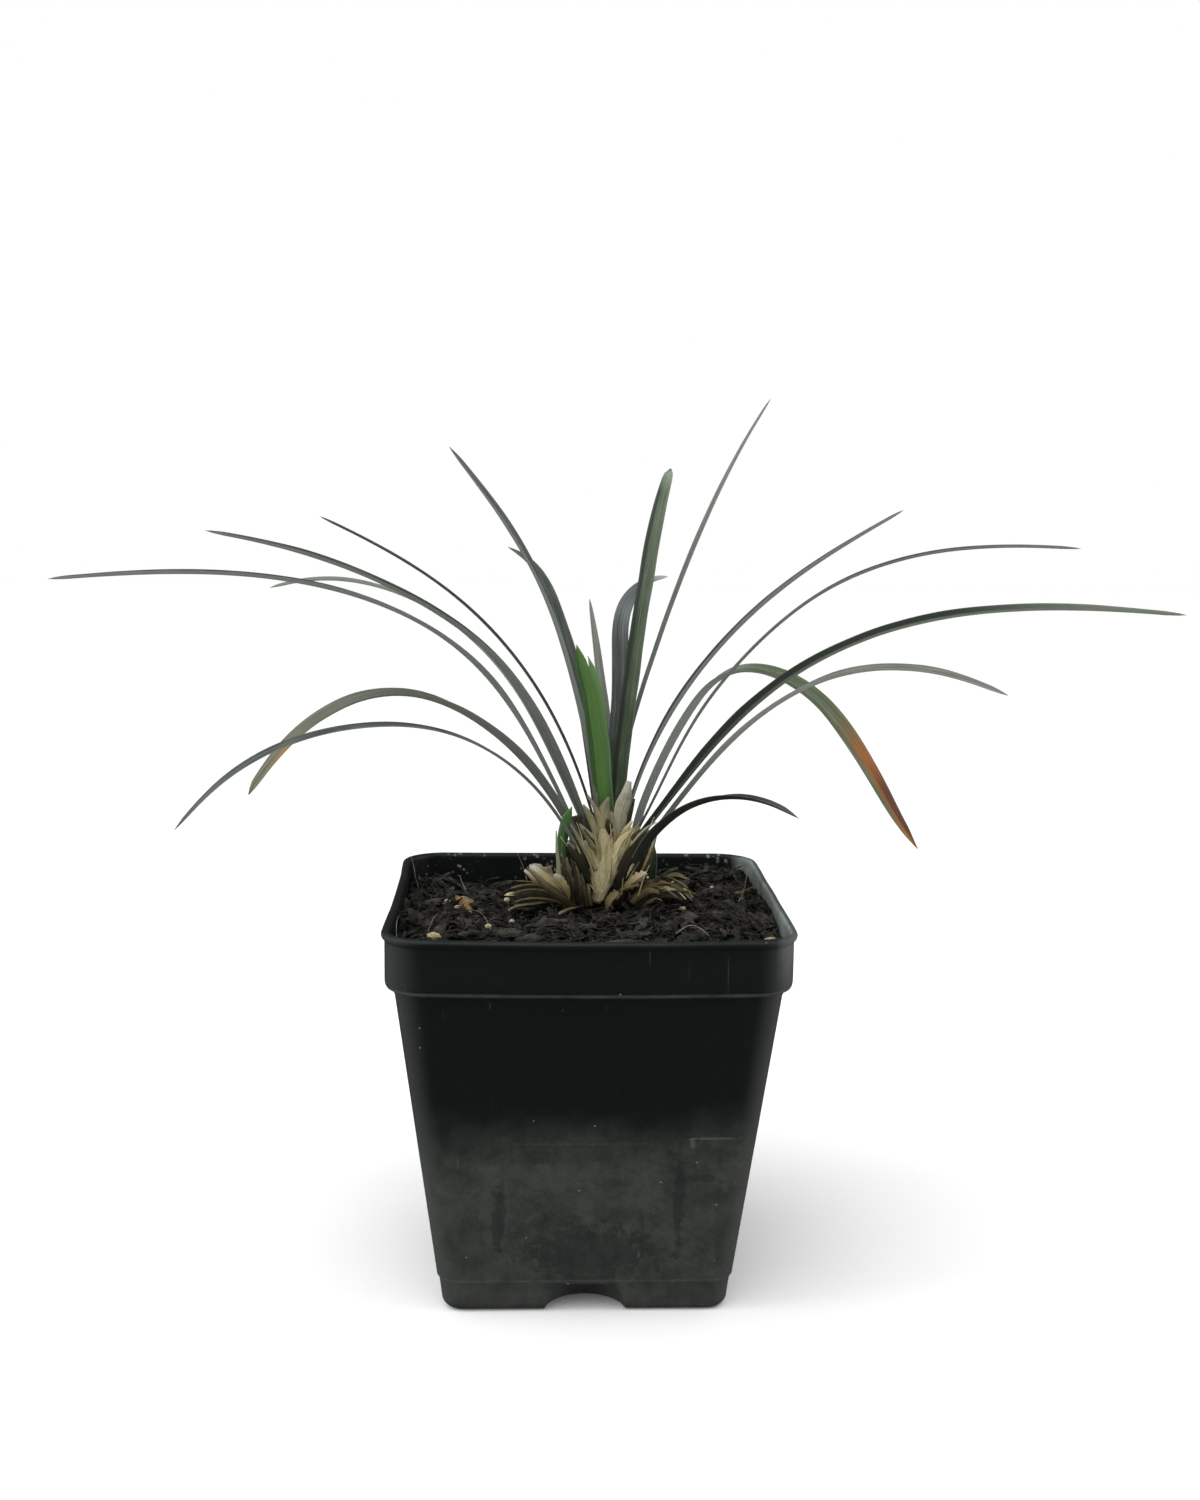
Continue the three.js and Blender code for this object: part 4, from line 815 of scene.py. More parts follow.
def makeSheath(name, line, widths, finish, seed, flatness=1.0, wrap=0.55, ragged=crown["fuzz"], sink=0.0,
               thickness=0.3):
    # a papery strap that follows a line of points and turns its back on the crown's axis
    length = sum((Vector(b) - Vector(a)).length for a, b in zip(line, line[1:]))
    steps = max(8, round(length / sheathBuild["spacing"]))
    points = [Vector(p) for p in smoothLine(line, steps)]
    stations, halfWidths, folds, shifts = [], [], [], []
    for k, point in enumerate(points):
        share = k / steps
        along = (points[min(k + 1, steps)] - points[max(k - 1, 0)]).normalized()
        inward = Vector(((crown["axis"][0] - point.x) * flatness, crown["axis"][1] - point.y,
                         -sheathBuild["depth"] * sink))
        inward = (inward - along * inward.dot(along)).normalized()
        stations.append((share, point, along, inward.cross(along), inward))
        halfWidth = raggedHalf(leanAt(widths, share) / 2, share, seed, ragged)
        halfWidths.append(max(sheathBuild["narrowest"], halfWidth))
        folds.append(wrap * (1 + sheathBuild["foldChange"] * noiseAt(share * 3, seed, 1)))
        shifts.append(sheathBuild["sway"] * share * noiseAt(share * 3, seed * 1.3, 5))
    ribs = 4 if max(widths) > 1.5 else 2  # a strand needs fewer faces
    return makeStrap(name, stations, halfWidths, folds, shifts, thickness, ribs, sheathBuild["ribHeight"],
                     papers[finish])


def makeCrownCore():
    sides, count, rings = crown["coreSides"], crown["coreRings"], []
    for k in range(count):
        z = mix(crown["sections"][0][2], crown["sections"][-1][2], k / (count - 1))
        rings.append([])
        for j in range(sides):
            out = outwardAt(360 * j / sides)
            strand = noiseAt(out.x * 7, out.y * 7, z / 16)
            fine = noiseAt(out.x * 22, out.y * 22, z / 9)
            rings[-1].append(crownSurface(360 * j / sides, z) + out * (0.55 * strand + 0.25 * fine - 0.35))
    piece = loft("crownCore", rings)
    storeRingUv(piece, count, sides, 0.6, 9)
    piece.data.materials.append(papers["umber"])
    return piece


def makeOldBases(rng):  # the old base that each leaf rises from, and a torn wing on it
    pieces, axis = [], Vector((*crown["axis"], 0))
    for order, blade in enumerate(leaves.values()):
        if "sheath" not in blade:
            continue
        foot = Vector(blade["foot"])
        around = math.degrees(math.atan2(foot.y - axis.y, foot.x - axis.x))
        facing = blade["heading"] if (foot - axis).xy.length < 4 else around
        out = outwardAt(facing)
        low, middle = (crownSurface(facing, z) for z in (crown["foot"], (crown["foot"] + foot.z) / 2))
        lift = 0.5 + 0.25 * (order % 3)
        along = bladeDirections(blade, 0.03)[0]
        line = [low + out * (lift - 0.6), middle + out * lift, foot + out * 0.4,
                foot + along * 2.5 + out * 0.2]
        pieces.append(makeSheath("oldBase", line, crown["baseWidths"], "umber", order * 1.7, ragged=0.12))
        wing = [low + out * (lift - 0.3), middle + out * (lift + 0.35), foot + out * 0.9,
                foot + along * blade["sheath"] * rng.uniform(0.6, 1) + out * 0.7]
        side = Vector((-out.y, out.x, 0)) * rng.choice((-1, 1)) * 1.1
        finish = rng.choice(("brown", "brown", "straw"))
        pieces.append(makeSheath("wing", [p + side * s for p, s in zip(wing, (0.8, 1, 1, 0.7))],
                                 crown["wingWidths"], finish, order * 2.9))
    return pieces


def makeScales(rng):
    pieces = []
    for k in range(crown["scales"]):
        turn = -15 + 210 * (k + rng.uniform(-0.4, 0.4)) / crown["scales"]  # from the right round the back
        z = rng.choice(crown["scaleFeet"])
        reach = rng.uniform(9, 15)
        out = outwardAt(turn)
        foot = crownSurface(turn, z)
        tip = crownSurface(turn + rng.uniform(-9, 9), min(z + reach, crown["scaleTop"]))
        tip += out * rng.uniform(0.8, 3)
        line = [foot + out * 0.1, foot.lerp(tip, 0.5) + out * rng.uniform(0.7, 1.4), tip]
        width = rng.uniform(3.4, 6.4)
        finish = rng.choice(("umber", "brown", "straw", "felt") if z < 100 else
                            ("brown", "straw", "felt", "pale"))
        pieces.append(makeSheath("scale", line, (width * 0.7, width, 0.6), finish, rng.uniform(0, 90)))
    return pieces


def makeStrands(rng):
    pieces = []
    for _ in range(crown["strands"]):
        x, z = rng.uniform(-3.5, 15), rng.uniform(98, 113)
        y = -4.7 - 0.33 * max(0, 3 - x) - 0.12 * max(0, x - 8)  # just before the sheaths
        spread, reach = (x - 5) * 0.5 + rng.uniform(-2, 2), rng.uniform(4, 10)
        line = [(x, y + 0.7, z), (x + spread * 0.4, y + 0.2, z + reach / 2),
                (x + spread, y + rng.uniform(-0.3, 0.3), z + reach)]
        finish = rng.choice(("lobe", "felt", "felt", "felt", "cream"))
        pieces.append(makeSheath("strand", line, (0.25, 0.35, 0.1), finish, rng.uniform(0, 90), 0.55, 0.3,
                                 0.1, thickness=0.15))
    return pieces


def makeCrown():
    rng = random.Random(crown["seed"])
    pieces = [makeCrownCore(), *makeOldBases(rng), *makeScales(rng)]
    settle(joinPieces("crownSheaths", pieces), "dry_sheath", "crown")
    pieces = [makeSheath("frontSheath", line, widths, finish, order * 4.1,
                         **{"flatness": 0.55, **dict(*rest)})
              for order, (line, widths, finish, *rest) in enumerate(frontSheaths)]
    settle(joinPieces("tornSheaths", pieces + makeStrands(rng)), "dry_sheath")
    scraps = [makeSheath("scrap", line, widths, finish, order * 5.3 + 2,
                         **{"wrap": 0.5, "sink": 1.0, **dict(*rest)})
              for order, (line, widths, finish, *rest) in enumerate(litter)]
    settle(joinPieces("leafLitter", scraps), "dry_sheath")
    print("crown made")


makeCrown()


pot = {
    "height": 99, "wall": 1.1, "floor": 1.6, "footHalf": 35.9, "footCorner": 5.3, "footRounding": 2.6,
    "stepHeight": 8.6, "stepDepth": 0.4, "shoulderHeight": 85, "shoulderHalf": 47, "shoulderCorner": 8.2,
    "collarHalf": 49.2, "collarCorner": 10.6,
    "lipBow": (0, -0.6, 1.6, 0),  # how far each side stands out at the lip: back, left, front, right
    "recess": {"halfWidth": 10.5, "topHalfWidth": 7.4, "depth": 10.6, "topDepth": 8.6, "height": 7.7},
    "slot": {"length": 9, "width": 2.4, "y": -31.2},
}
ledge = pot["shoulderHeight"] + pot["wall"]  # where the inside widens


def turned(x, y, z, side):  # a point turned by quarter turns about +Z
    for _ in range(side):
        x, y = -y, x
    return (x, y, z)


def squareRing(half, corner, z, cornerSteps=12, sideSteps=14, wobble=0.0):
    flat, ring = half - corner, []
    for side, bow in enumerate(pot["lipBow"]):
        for k in range(cornerSteps + 1):
            angle = k / cornerSteps * math.pi / 2
            ring.append(turned(flat + corner * math.cos(angle), flat + corner * math.sin(angle), z, side))
        for k in range(1, sideSteps):
            along = 1 - 2 * k / sideSteps
            out = bow * (z / pot["height"]) ** 2 * (1 - along * along)
            out += wobble * noiseAt(along * 2.2, side * 5.0, z / 30)
            ring.append(turned(flat * along, half + out, z, side))
    return ring


def wallHalf(z):
    return mix(pot["footHalf"], pot["shoulderHalf"], z / pot["shoulderHeight"])


def wallCorner(z):
    return mix(pot["footCorner"], pot["shoulderCorner"], z / pot["shoulderHeight"])


def potOutside():
    rings = []
    for k in range(8):  # the foot's rounding
        angle = k / 7 * math.pi / 2
        z = pot["footRounding"] * (1 - math.cos(angle))
        inset = pot["footRounding"] * (1 - math.sin(angle)) + pot["stepDepth"]
        rings.append(squareRing(wallHalf(z) - inset, wallCorner(z) - inset, z))
    for dz, depth in ((-3, 1), (-0.35, 1), (-0.15, 0.9), (0.05, 0.35), (0.2, 0.05), (0.4, 0)):
        z = pot["stepHeight"] + dz
        rings.append(squareRing(wallHalf(z) - depth * pot["stepDepth"], wallCorner(z), z))
    for z in (14, 24, 36, 48, 60, 72, 80, pot["shoulderHeight"] - 1.2):
        rings.append(squareRing(wallHalf(z), wallCorner(z), z, wobble=0.25))
    under = pot["collarHalf"] - pot["shoulderHalf"]
    for out, dz in ((-0.02, -0.6), (0.02, -0.1), (0.2, 0.02), (0.55, 0.0), (0.78, 0.12), (0.92, 0.36),
                    (0.99, 0.7), (1.0, 1.2), (1.0, 2.2)):
        corner = mix(pot["shoulderCorner"], pot["collarCorner"], clamp(out))
        rings.append(squareRing(pot["shoulderHalf"] + out * under, corner,
                                pot["shoulderHeight"] + dz * under, wobble=0.2))
    for out, below in ((0, 6), (0, 2.5), (0.12, 2.2), (0.5, 1.85), (0.72, 1.5), (0.8, 1.1), (0.78, 0.7),
                       (0.62, 0.3), (0.35, 0.07), (0.05, 0.0)):
        rings.append(squareRing(pot["collarHalf"] + out, pot["collarCorner"] + out, pot["height"] - below,
                                wobble=0.22))
    return loft("pot", rings)


def insideHalf(z):  # the half-width of the pot's inside
    if z < ledge:
        return wallHalf(z) - pot["wall"]
    return mix(pot["shoulderHalf"], pot["collarHalf"] - pot["wall"], clamp((z - ledge) / pot["wall"]))


def insideCorner(z):
    return wallCorner(z) - pot["wall"] if z < ledge else pot["collarCorner"] - pot["wall"] - 0.4


def potInside():
    rings = []
    for inset, dz in ((1.6, 0), (1.1, 0.1), (0.5, 0.5), (0.15, 1.0), (0, 1.8)):
        z = pot["floor"] + dz
        rings.append(squareRing(insideHalf(z) - inset, insideCorner(z) - inset, z))
    for z in (30, 60, ledge - 0.05, ledge + 0.05, ledge + 0.6, ledge + 1.1, ledge + 4):
        rings.append(squareRing(insideHalf(z), insideCorner(z), z))
    for out, below in ((0, 1.6), (0.05, 0.9), (0.2, 0.45), (0.55, 0.12), (1.1, -0.15), (1.6, -0.9)):
        inset = pot["wall"] - out
        rings.append(squareRing(pot["collarHalf"] - inset, pot["collarCorner"] - inset,
                                pot["height"] - below, wobble=0.2))
    return loft("potInside", rings)


def recessSolid(side, growth, name):
    recess, rings = pot["recess"], []
    for z, narrowing in ((-1, 0), (2, 0.15), (4.5, 0.45), (recess["height"] - 1.0, 0.85),
                         (recess["height"] - 0.35, 1.0), (recess["height"], 1.12)):
        halfWidth = mix(recess["halfWidth"], recess["topHalfWidth"], narrowing) + growth
        depth = mix(recess["depth"], recess["topDepth"], narrowing) + growth
        rise = growth if z > 0 else 0
        rings.append([turned(halfWidth * math.cos(a / 24 * math.pi), -pot["footHalf"] + depth
                             * math.sin(a / 24 * math.pi), z + rise, side) for a in range(48)])
    return loft(name, rings)


def slotSolid(side):
    slot, steps = pot["slot"], 10
    radius = slot["width"] / 2
    reach = slot["length"] / 2 - radius
    outline = [(reach + radius * math.cos(a), radius * math.sin(a)) for a in
               [-math.pi / 2 + math.pi * k / steps for k in range(steps + 1)]]
    outline += [(-x, -y) for x, y in outline]
    return loft("slot", [[turned(x, slot["y"] + y, z, side) for x, y in outline] for z in (6, 13)])


def cutAway(piece, cutter):
    modifier = piece.modifiers.new("cut", "BOOLEAN")
    modifier.operation = "DIFFERENCE"
    modifier.solver = "EXACT"
    modifier.object = cutter
    keepResult(piece, modifier)
    bpy.data.objects.remove(cutter)


# Black polypropylene, injection moulded: satin and near black, with dust, a painted reflection of the pale
# floor and dried water in its lower half, faint flow streaks down the walls, and pale scuffs and painted
# highlights on the lip and ledge.
potLook = {
    # the dust colour is also a painted reflection of the pale floor, and the scuff colour also paints
    # highlights on the lip and ledge
    "deep": "#050a0a", "dust": "#313630", "stain": "#191d1b", "scuff": "#58605d", "speck": "#8a918e",
    "film": "#9aa29c",
    "dustAndReflectionTop": 58, "dustAndReflectionFull": 37,  # mm above the foot
    "dustAndReflectionWander": 13,  # mm from the highest to the lowest point of the upper edge of the dust and painted reflection
    # marks on the front: x, z, half-width, half-height in mm, strength
    "tideLines": [(30.5, 47.7, 6, 0.35, 0.35), (25.6, 46.2, 0.8, 1.2, 0.3), (-4, 46.4, 18, 0.3, 0.07),
        (13, 16, 0.4, 1, 0.2)],
    "stains": [(1, 16, 17, 8, 0.6), (-9, 22, 9, 5, 0.35), (-7, 29, 5, 4, 0.3), (10, 27, 7, 3, 0.3),
        (-22, 25, 1.5, 10, 0.65), (-21, 30, 0.9, 12, 0.35), (22.5, 31, 1.5, 15, 0.65),
        (22.6, 40, 4, 5, 0.35), (28, 37, 4.6, 0.9, 0.6), (-13, 43, 6, 2.2, 0.3), (33, 24, 1.6, 12, 0.3),
        (6, 36, 6, 1.2, 0.35), (-2, 34, 4, 0.9, 0.3), (-30, 38, 1.6, 9, 0.25), (13, 20, 1.2, 7, 0.3),
        (0, 44, 30, 3, 0.25), (-20, 42, 9, 2, 0.25), (28, 33, 8, 5, 0.3), (-28, 20, 3, 12, 0.2)],
}


def potMaterial():
    material, tree, shader = newMaterial("blackPolypropylene")
    seen = addNode(tree, "ShaderNodeTexCoord").outputs
    mmSpot = addNode(tree, "ShaderNodeMapping", {"Vector": seen["Object"], "Scale": (1000, 1000, 1000)})
    split = addNode(tree, "ShaderNodeSeparateXYZ", {"Vector": mmSpot}).outputs
    facing = addNode(tree, "ShaderNodeSeparateXYZ", {"Vector": seen["Normal"]}).outputs
    # stretched: clouds that the edge of the dust and painted reflection follows, streaks 2 mm wide and 40 mm
    # tall, fine scratches; then smears of 6 mm, frayed edges of 2 mm and a grain under 1 mm
    noises = []
    for scale, turn, detail, roughness in (
            ((0.06, 0.06, 0.09), (0, 0, 0), 5.0, 0.6), ((0.42, 0.42, 0.022), (0, 0, 0), 4.0, 0.65),
            ((0.9, 0.9, 0.03), (0.5, 0.9, 0.4), 2.0, 0.5), (0.16, None, 6.0, 0.7), (0.42, None, 6.0, 0.75),
            (1.4, None, 4.0, 0.5)):
        place, size = mmSpot, scale
        if turn:
            place = addNode(tree, "ShaderNodeMapping", {"Vector": mmSpot, "Rotation": turn, "Scale": scale})
            size = 1.0
        noises.append(addNode(tree, "ShaderNodeTexNoise", {"Vector": place, "Scale": size, "Detail": detail,
                                                           "Roughness": roughness}))
    cloud, streaks, scratches, smear, fray, grain = noises
    splashes, specks = (addNode(tree, "ShaderNodeTexVoronoi", {"Vector": mmSpot, "Scale": scale}).outputs[0]
                        for scale in (0.55, 0.16))
    # the pale lower band is dust and a painted reflection of the pale floor; its top wanders with the clouds
    wander = potLook["dustAndReflectionWander"]
    height = addNode(tree, "ShaderNodeMath", {0: cloud, 1: -wander, 2: split["Z"]}, operation="MULTIPLY_ADD")
    dust = addNode(tree, "ShaderNodeMapRange", {"Value": height, 1: potLook["dustAndReflectionTop"] - wander / 2,
                   2: potLook["dustAndReflectionFull"] - wander / 2, 3: 0.0, 4: 1.0}, interpolation_type="SMOOTHSTEP")
    share = {}
    for name, value, *span in (
            ("streaked", streaks, 0.3, 0.7, 0.84, 1.05), ("smeared", smear, 0.36, 0.62, 0.6, 1.08),
            ("front", split["Y"], -30.0, -34.0, 0.0, 1.0), ("specks", specks, 0.045, 0.03, 0.0, 0.4),
            ("scratched", scratches, 0.72, 0.76, 0.0, 0.16), ("sparse", smear, 0.48, 0.6, 0.0, 0.7),
            # paler inside the right wall near the lip, on the faces turned to the left
            ("facingLeft", facing["X"], -0.3, -0.7, 0.25, 0.8), ("right", split["X"], 43.5, 47.0, 0.0, 1.0),
            ("upper", split["Z"], 84.0, 97.0, 0.1, 1.0),
            # splashes of mix dried below the lip inside the back wall, larger toward the lip
            ("facingFront", facing["Y"], -0.3, -0.6, 0.0, 1.0), ("back", split["Y"], 36.0, 40.0, 0.0, 1.0),
            ("splashReach", split["Z"], 88.0, 97.0, 0.05, 0.3)):
        share[name] = addNode(tree, "ShaderNodeMapRange", {"Value": value, **dict(enumerate(span, 1))})
    share["splashes"] = addNode(tree, "ShaderNodeMath", {0: splashes, 1: share["splashReach"]},
                                operation="LESS_THAN")
    # dust and painted floor reflection, thinned by the streaks and smears
    streakedDustAndReflection = dust
    for name in ("streaked", "smeared"):
        streakedDustAndReflection = addNode(tree, "ShaderNodeMath", {0: streakedDustAndReflection, 1: share[name]}, operation="MULTIPLY")
    coats = [([streakedDustAndReflection], "dust")]
    # dried water left darker, soft-edged marks and thin pale tide lines on the front wall
    frayed = addNode(tree, "ShaderNodeMath", {0: fray, 1: 3.4, 2: -1.7}, operation="MULTIPLY_ADD")
    for kind, marks in (("stain", potLook["stains"]), ("scuff", potLook["tideLines"])):
        for x, z, halfWidth, halfHeight, strength in marks:
            away = addNode(tree, "ShaderNodeVectorMath", {0: mmSpot, 1: (x, 0, z)}, operation="SUBTRACT")
            away = addNode(tree, "ShaderNodeVectorMath", {0: away, 1: (1 / halfWidth, 0, 1 / halfHeight)},
                           operation="MULTIPLY")
            far = addNode(tree, "ShaderNodeVectorMath", {0: away}, operation="LENGTH")
            far = addNode(tree, "ShaderNodeMath", {0: far, 1: frayed}, operation="ADD")
            mark = addNode(tree, "ShaderNodeMapRange", {"Value": far, 1: 1.15, 2: 0.75, 3: 0.0, 4: strength})
            coats.append(([mark, share["front"]], kind))
    # pale scuffs where edges rub on the lip, the ledge under the collar and the foot's step, with painted
    # highlights along the lip and the ledge
    for low, high, strength, above in ((98.3, 99.0, 0.14, 1.0), (84.7, 85.9, 0.32, 0.0),
                                       (8.3, 8.9, 0.3, 0.0)):
        rise = addNode(tree, "ShaderNodeMapRange", {"Value": split["Z"], 1: low - 0.3, 2: low + 0.2, 3: 0.0,
                                                    4: strength})
        fall = addNode(tree, "ShaderNodeMapRange", {"Value": split["Z"], 1: high - 0.1, 2: high + 0.3,
                                                    3: 1.0, 4: above})
        coats.append(([rise, fall, share["smeared"]], "scuff"))
    for names, tint in ((("facingLeft", "right", "upper", "smeared"), "film"),
                        (("splashes", "facingFront", "back", "sparse"), "speck"),
                        (("specks",), "speck"), (("scratched",), "scuff")):
        coats.append(([share[name] for name in names], tint))
    colour = linear(potLook["deep"])
    for (cover, *others), tint in coats:
        for other in others:
            cover = addNode(tree, "ShaderNodeMath", {0: cover, 1: other}, operation="MULTIPLY")
        colour = addNode(tree, "ShaderNodeMix", {0: cover, 6: colour, 7: linear(potLook[tint])},
                         data_type="RGBA")
    rough = addNode(tree, "ShaderNodeMapRange", {"Value": streakedDustAndReflection, 1: 0.0, 2: 1.0, 3: 0.36, 4: 0.6})
    rough = addNode(tree, "ShaderNodeMath", {0: smear, 1: 0.12, 2: rough}, operation="MULTIPLY_ADD")
    flow = addNode(tree, "ShaderNodeMath", {0: streaks, 1: 1.5, 2: grain}, operation="MULTIPLY_ADD")
    bump = addNode(tree, "ShaderNodeBump", {"Strength": 0.25, "Distance": 0.08 * mm, "Height": flow})
    # dust on what faces up takes the shine off it
    shine = addNode(tree, "ShaderNodeMapRange", {"Value": facing["Z"], 1: 0.1, 2: 0.6, 3: 0.5, 4: 0.1})
    setInputs(tree, shader, {"Base Color": colour, "Roughness": rough, "Normal": bump, "IOR": 1.49,
                             "Specular IOR Level": shine})
    return material


def makePot():
    shell = potOutside()
    inside = potInside()
    cutAway(inside, joinPieces("bosses", [recessSolid(side, pot["wall"], "boss") for side in range(4)]))
    cutAway(shell, inside)
    hollows = [recessSolid(side, 0, "recess") for side in range(4)] + [slotSolid(side) for side in range(4)]
    for hollow in (joinPieces("recesses", hollows[:4]), joinPieces("slots", hollows[4:])):
        cutAway(shell, hollow)
    shell.name = "nurseryPot"
    shell.data.name = "nurseryPot"
    shell.data.materials.clear()
    shell.data.materials.append(potMaterial())
    shell.data.polygons.foreach_set("use_smooth", [True] * len(shell.data.polygons))
    shell.data.set_sharp_from_angle(angle=math.radians(38))
    settle(shell, "pot_plastic", "pot")
    print("pot made:", len(shell.data.polygons), "faces")


makePot()


soil = {
    "level": 93.2,
    "mounds": [(4, 5, 16, 1.9), (46, -4, 22, 3.4), (40, 44, 11, 2.2), (-22, 38, 20, -4.2), (4, 44, 14, -1.4),
               (-44, -6, 14, 1.2)],  # x, y, radius, height
    "gap": 0.3,  # between the mix and the pot
    "sideSteps": (9, 22),  # of a ring's corners and sides
    "turns": 74,  # rings from the rim to the middle of the top
    "grid": 96,  # points along a side of the ground that bits are scattered on
    "crownHole": (5, 6.5, 7.5, 9),  # x, y, half-width and half-depth left clear of bits
}


def soilHeight(x, y):
    height = soil["level"]
    for mx, my, radius, rise in soil["mounds"]:
        height += rise * math.exp(-((x - mx) ** 2 + (y - my) ** 2) / radius ** 2)
    return (height + 0.5 * math.sin(0.55 * x + 1.1) * math.sin(0.62 * y)
            + 0.35 * math.sin(1.25 * x - 0.85 * y))


def crumbly(x, y):  # the fine relief on top of the mounds
    spot = Vector((x, y, 3.3))
    return (1.8 * noise.noise(spot / 6.5) + 1.5 * noise.noise(spot / 2.6) + 0.9 * noise.noise(spot / 1.1)
            - 0.8)


# Bark and peat potting mix: damp, matt and almost black, browner where bark shows its fibres.
def soilMaterial(name, dark, mid, light, roughness=0.88):
    material, tree, shader = newMaterial(name)
    spot = addNode(tree, "ShaderNodeTexCoord").outputs["Object"]
    clods, grit = (addNode(tree, "ShaderNodeTexNoise", {"Vector": spot, "Scale": scale, "Detail": detail,
                                                        "Roughness": rough})  # of 4 mm and of 0.8 mm
                   for scale, detail, rough in ((240.0, 6.0, 0.65), (1300.0, 4.0, 0.7)))
    ramp = addNode(tree, "ShaderNodeValToRGB", {"Fac": clods})
    setStops(ramp, ((0.36, dark), (0.52, mid), (0.72, light)))
    gritty = addNode(tree, "ShaderNodeMapRange", {"Value": grit, 1: 0.5, 2: 0.8, 3: 0.0, 4: 0.8})
    colour = addNode(tree, "ShaderNodeMix", {0: gritty, 6: ramp, 7: linear(light)}, data_type="RGBA")
    bump = addNode(tree, "ShaderNodeBump", {"Strength": 0.9, "Distance": 0.3 * mm, "Height": grit})
    setInputs(tree, shader, {"Base Color": colour, "Roughness": roughness, "Specular IOR Level": 0.3,
                             "Normal": bump})
    return material


def makeSoil():
    rings, gap = [], soil["gap"]
    for z in (9.8, 40, 70, 85.4, 86.4, 87.6, 89.5):
        rings.append(squareRing(insideHalf(z) - gap, insideCorner(z) - gap, z, *soil["sideSteps"]))
    half, corner = insideHalf(92) - gap, insideCorner(92) - gap
    for k in range(soil["turns"], 0, -1):
        atRim = k == soil["turns"]
        scale, relief = (1, 0.2) if atRim else ((k - 0.6) / soil["turns"], 1)
        ring = squareRing(half * scale, corner * scale, soil["level"], *soil["sideSteps"])
        rings.append([(x, y, soilHeight(x, y) + relief * crumbly(x, y)) for x, y, _ in ring])
    piece = loft("pottingMix", rings)
    piece.data.materials.append(soilMaterial("dampPeat", "#050505", "#0f0e0c", "#201e1a", 0.95))
    settle(piece, "potting_mix", "soil")
    # the open ground that bits are scattered on, clear of the crown and of the pot's corners
    points, faces, count = [], [], soil["grid"]
    holeX, holeY, holeWidth, holeDepth = soil["crownHole"]
    for j in range(count):
        for i in range(count):
            x, y = (mix(-half + 1.2, half - 1.2, v / (count - 1)) for v in (i, j))
            points.append((x, y, soilHeight(x, y) + crumbly(x, y)))
    for j in range(count - 1):
        for i in range(count - 1):
            a = j * count + i
            x, y, _ = points[a]
            inCrown = ((x - holeX) / holeWidth) ** 2 + ((y - holeY) / holeDepth) ** 2 < 1
            inCorner = max(abs(x), abs(y)) > half - 4 and min(abs(x), abs(y)) > half - 5
            if not inCrown and not inCorner:
                faces.append((a, a + 1, a + count + 1, a + count))
    return meshObject("ground", points, faces)


def randomTurn(tree, given, axes, seed):  # a tilt about the named axes and any turn about +Z
    down = addNode(tree, "ShaderNodeMath", {0: given["Tilt"], 1: -1.0}, operation="MULTIPLY")
    low = addNode(tree, "ShaderNodeCombineXYZ", {axis: down for axis in axes})
    high = addNode(tree, "ShaderNodeCombineXYZ", {**{axis: given["Tilt"] for axis in axes},
                                                  "Z": 2 * math.pi})
    turn = addNode(tree, "FunctionNodeRandomValue", {"Min": low, "Max": high, "Seed": seed},
                   data_type="FLOAT_VECTOR")
    return addNode(tree, "FunctionNodeEulerToRotation", {"Euler": turn})


def randomPush(tree, scale, detail, strength):  # a push that changes smoothly from place to place
    drift = addNode(tree, "ShaderNodeTexNoise", {"Scale": scale, "Detail": detail, "Vector": addNode(
                    tree, "GeometryNodeInputPosition")}).outputs["Color"]
    push = addNode(tree, "ShaderNodeVectorMath", {0: drift, 1: (0.5, 0.5, 0.5)}, operation="SUBTRACT")
    return addNode(tree, "ShaderNodeVectorMath", {0: push, "Scale": strength}, operation="SCALE")


def makeScatterTree():  # lumps scattered over a ground, each of its own shape
    tree, given, result = newTree("scatteredBits", [
        ("Density", "Float", 1000.0), ("Smallest", "Vector", None), ("Largest", "Vector", None),
        ("Tilt", "Float", 0.5), ("Detail", "Int", 1), ("Lumpiness", "Float", 0.0004),
        ("Lump Scale", "Float", 500.0), ("Rise", "Float", 0.0), ("Seed", "Int", 1),
        ("Material", "Material", None)])
    spots = addNode(tree, "GeometryNodeDistributePointsOnFaces", {"Mesh": given["Geometry"],
                    "Density": given["Density"], "Seed": given["Seed"]})
    raised = addNode(tree, "ShaderNodeCombineXYZ", {"Z": given["Rise"]})
    spots = addNode(tree, "GeometryNodeSetPosition", {"Geometry": spots, "Offset": raised})
    size = addNode(tree, "FunctionNodeRandomValue", {"Min": given["Smallest"], "Max": given["Largest"],
                   "Seed": given["Seed"]}, data_type="FLOAT_VECTOR")
    otherSeed = addNode(tree, "ShaderNodeMath", {0: given["Seed"], 1: 7.0}, operation="ADD")
    turn = randomTurn(tree, given, "XY", otherSeed)
    lump = addNode(tree, "GeometryNodeMeshIcoSphere", {"Radius": 0.5, "Subdivisions": given["Detail"]})
    placed = addNode(tree, "GeometryNodeInstanceOnPoints", {"Points": spots, "Instance": lump,
                     "Rotation": turn, "Scale": size})
    real = addNode(tree, "GeometryNodeRealizeInstances", {"Geometry": placed})
    push = randomPush(tree, given["Lump Scale"], 1.0, given["Lumpiness"])
    shaped = addNode(tree, "GeometryNodeSetPosition", {"Geometry": real, "Offset": push})
    flat = addNode(tree, "GeometryNodeSetShadeSmooth", {"Geometry": shaped, "Shade Smooth": False})
    finished = addNode(tree, "GeometryNodeSetMaterial", {"Geometry": flat, "Material": given["Material"]})
    setInputs(tree, result, {0: finished})
    return tree


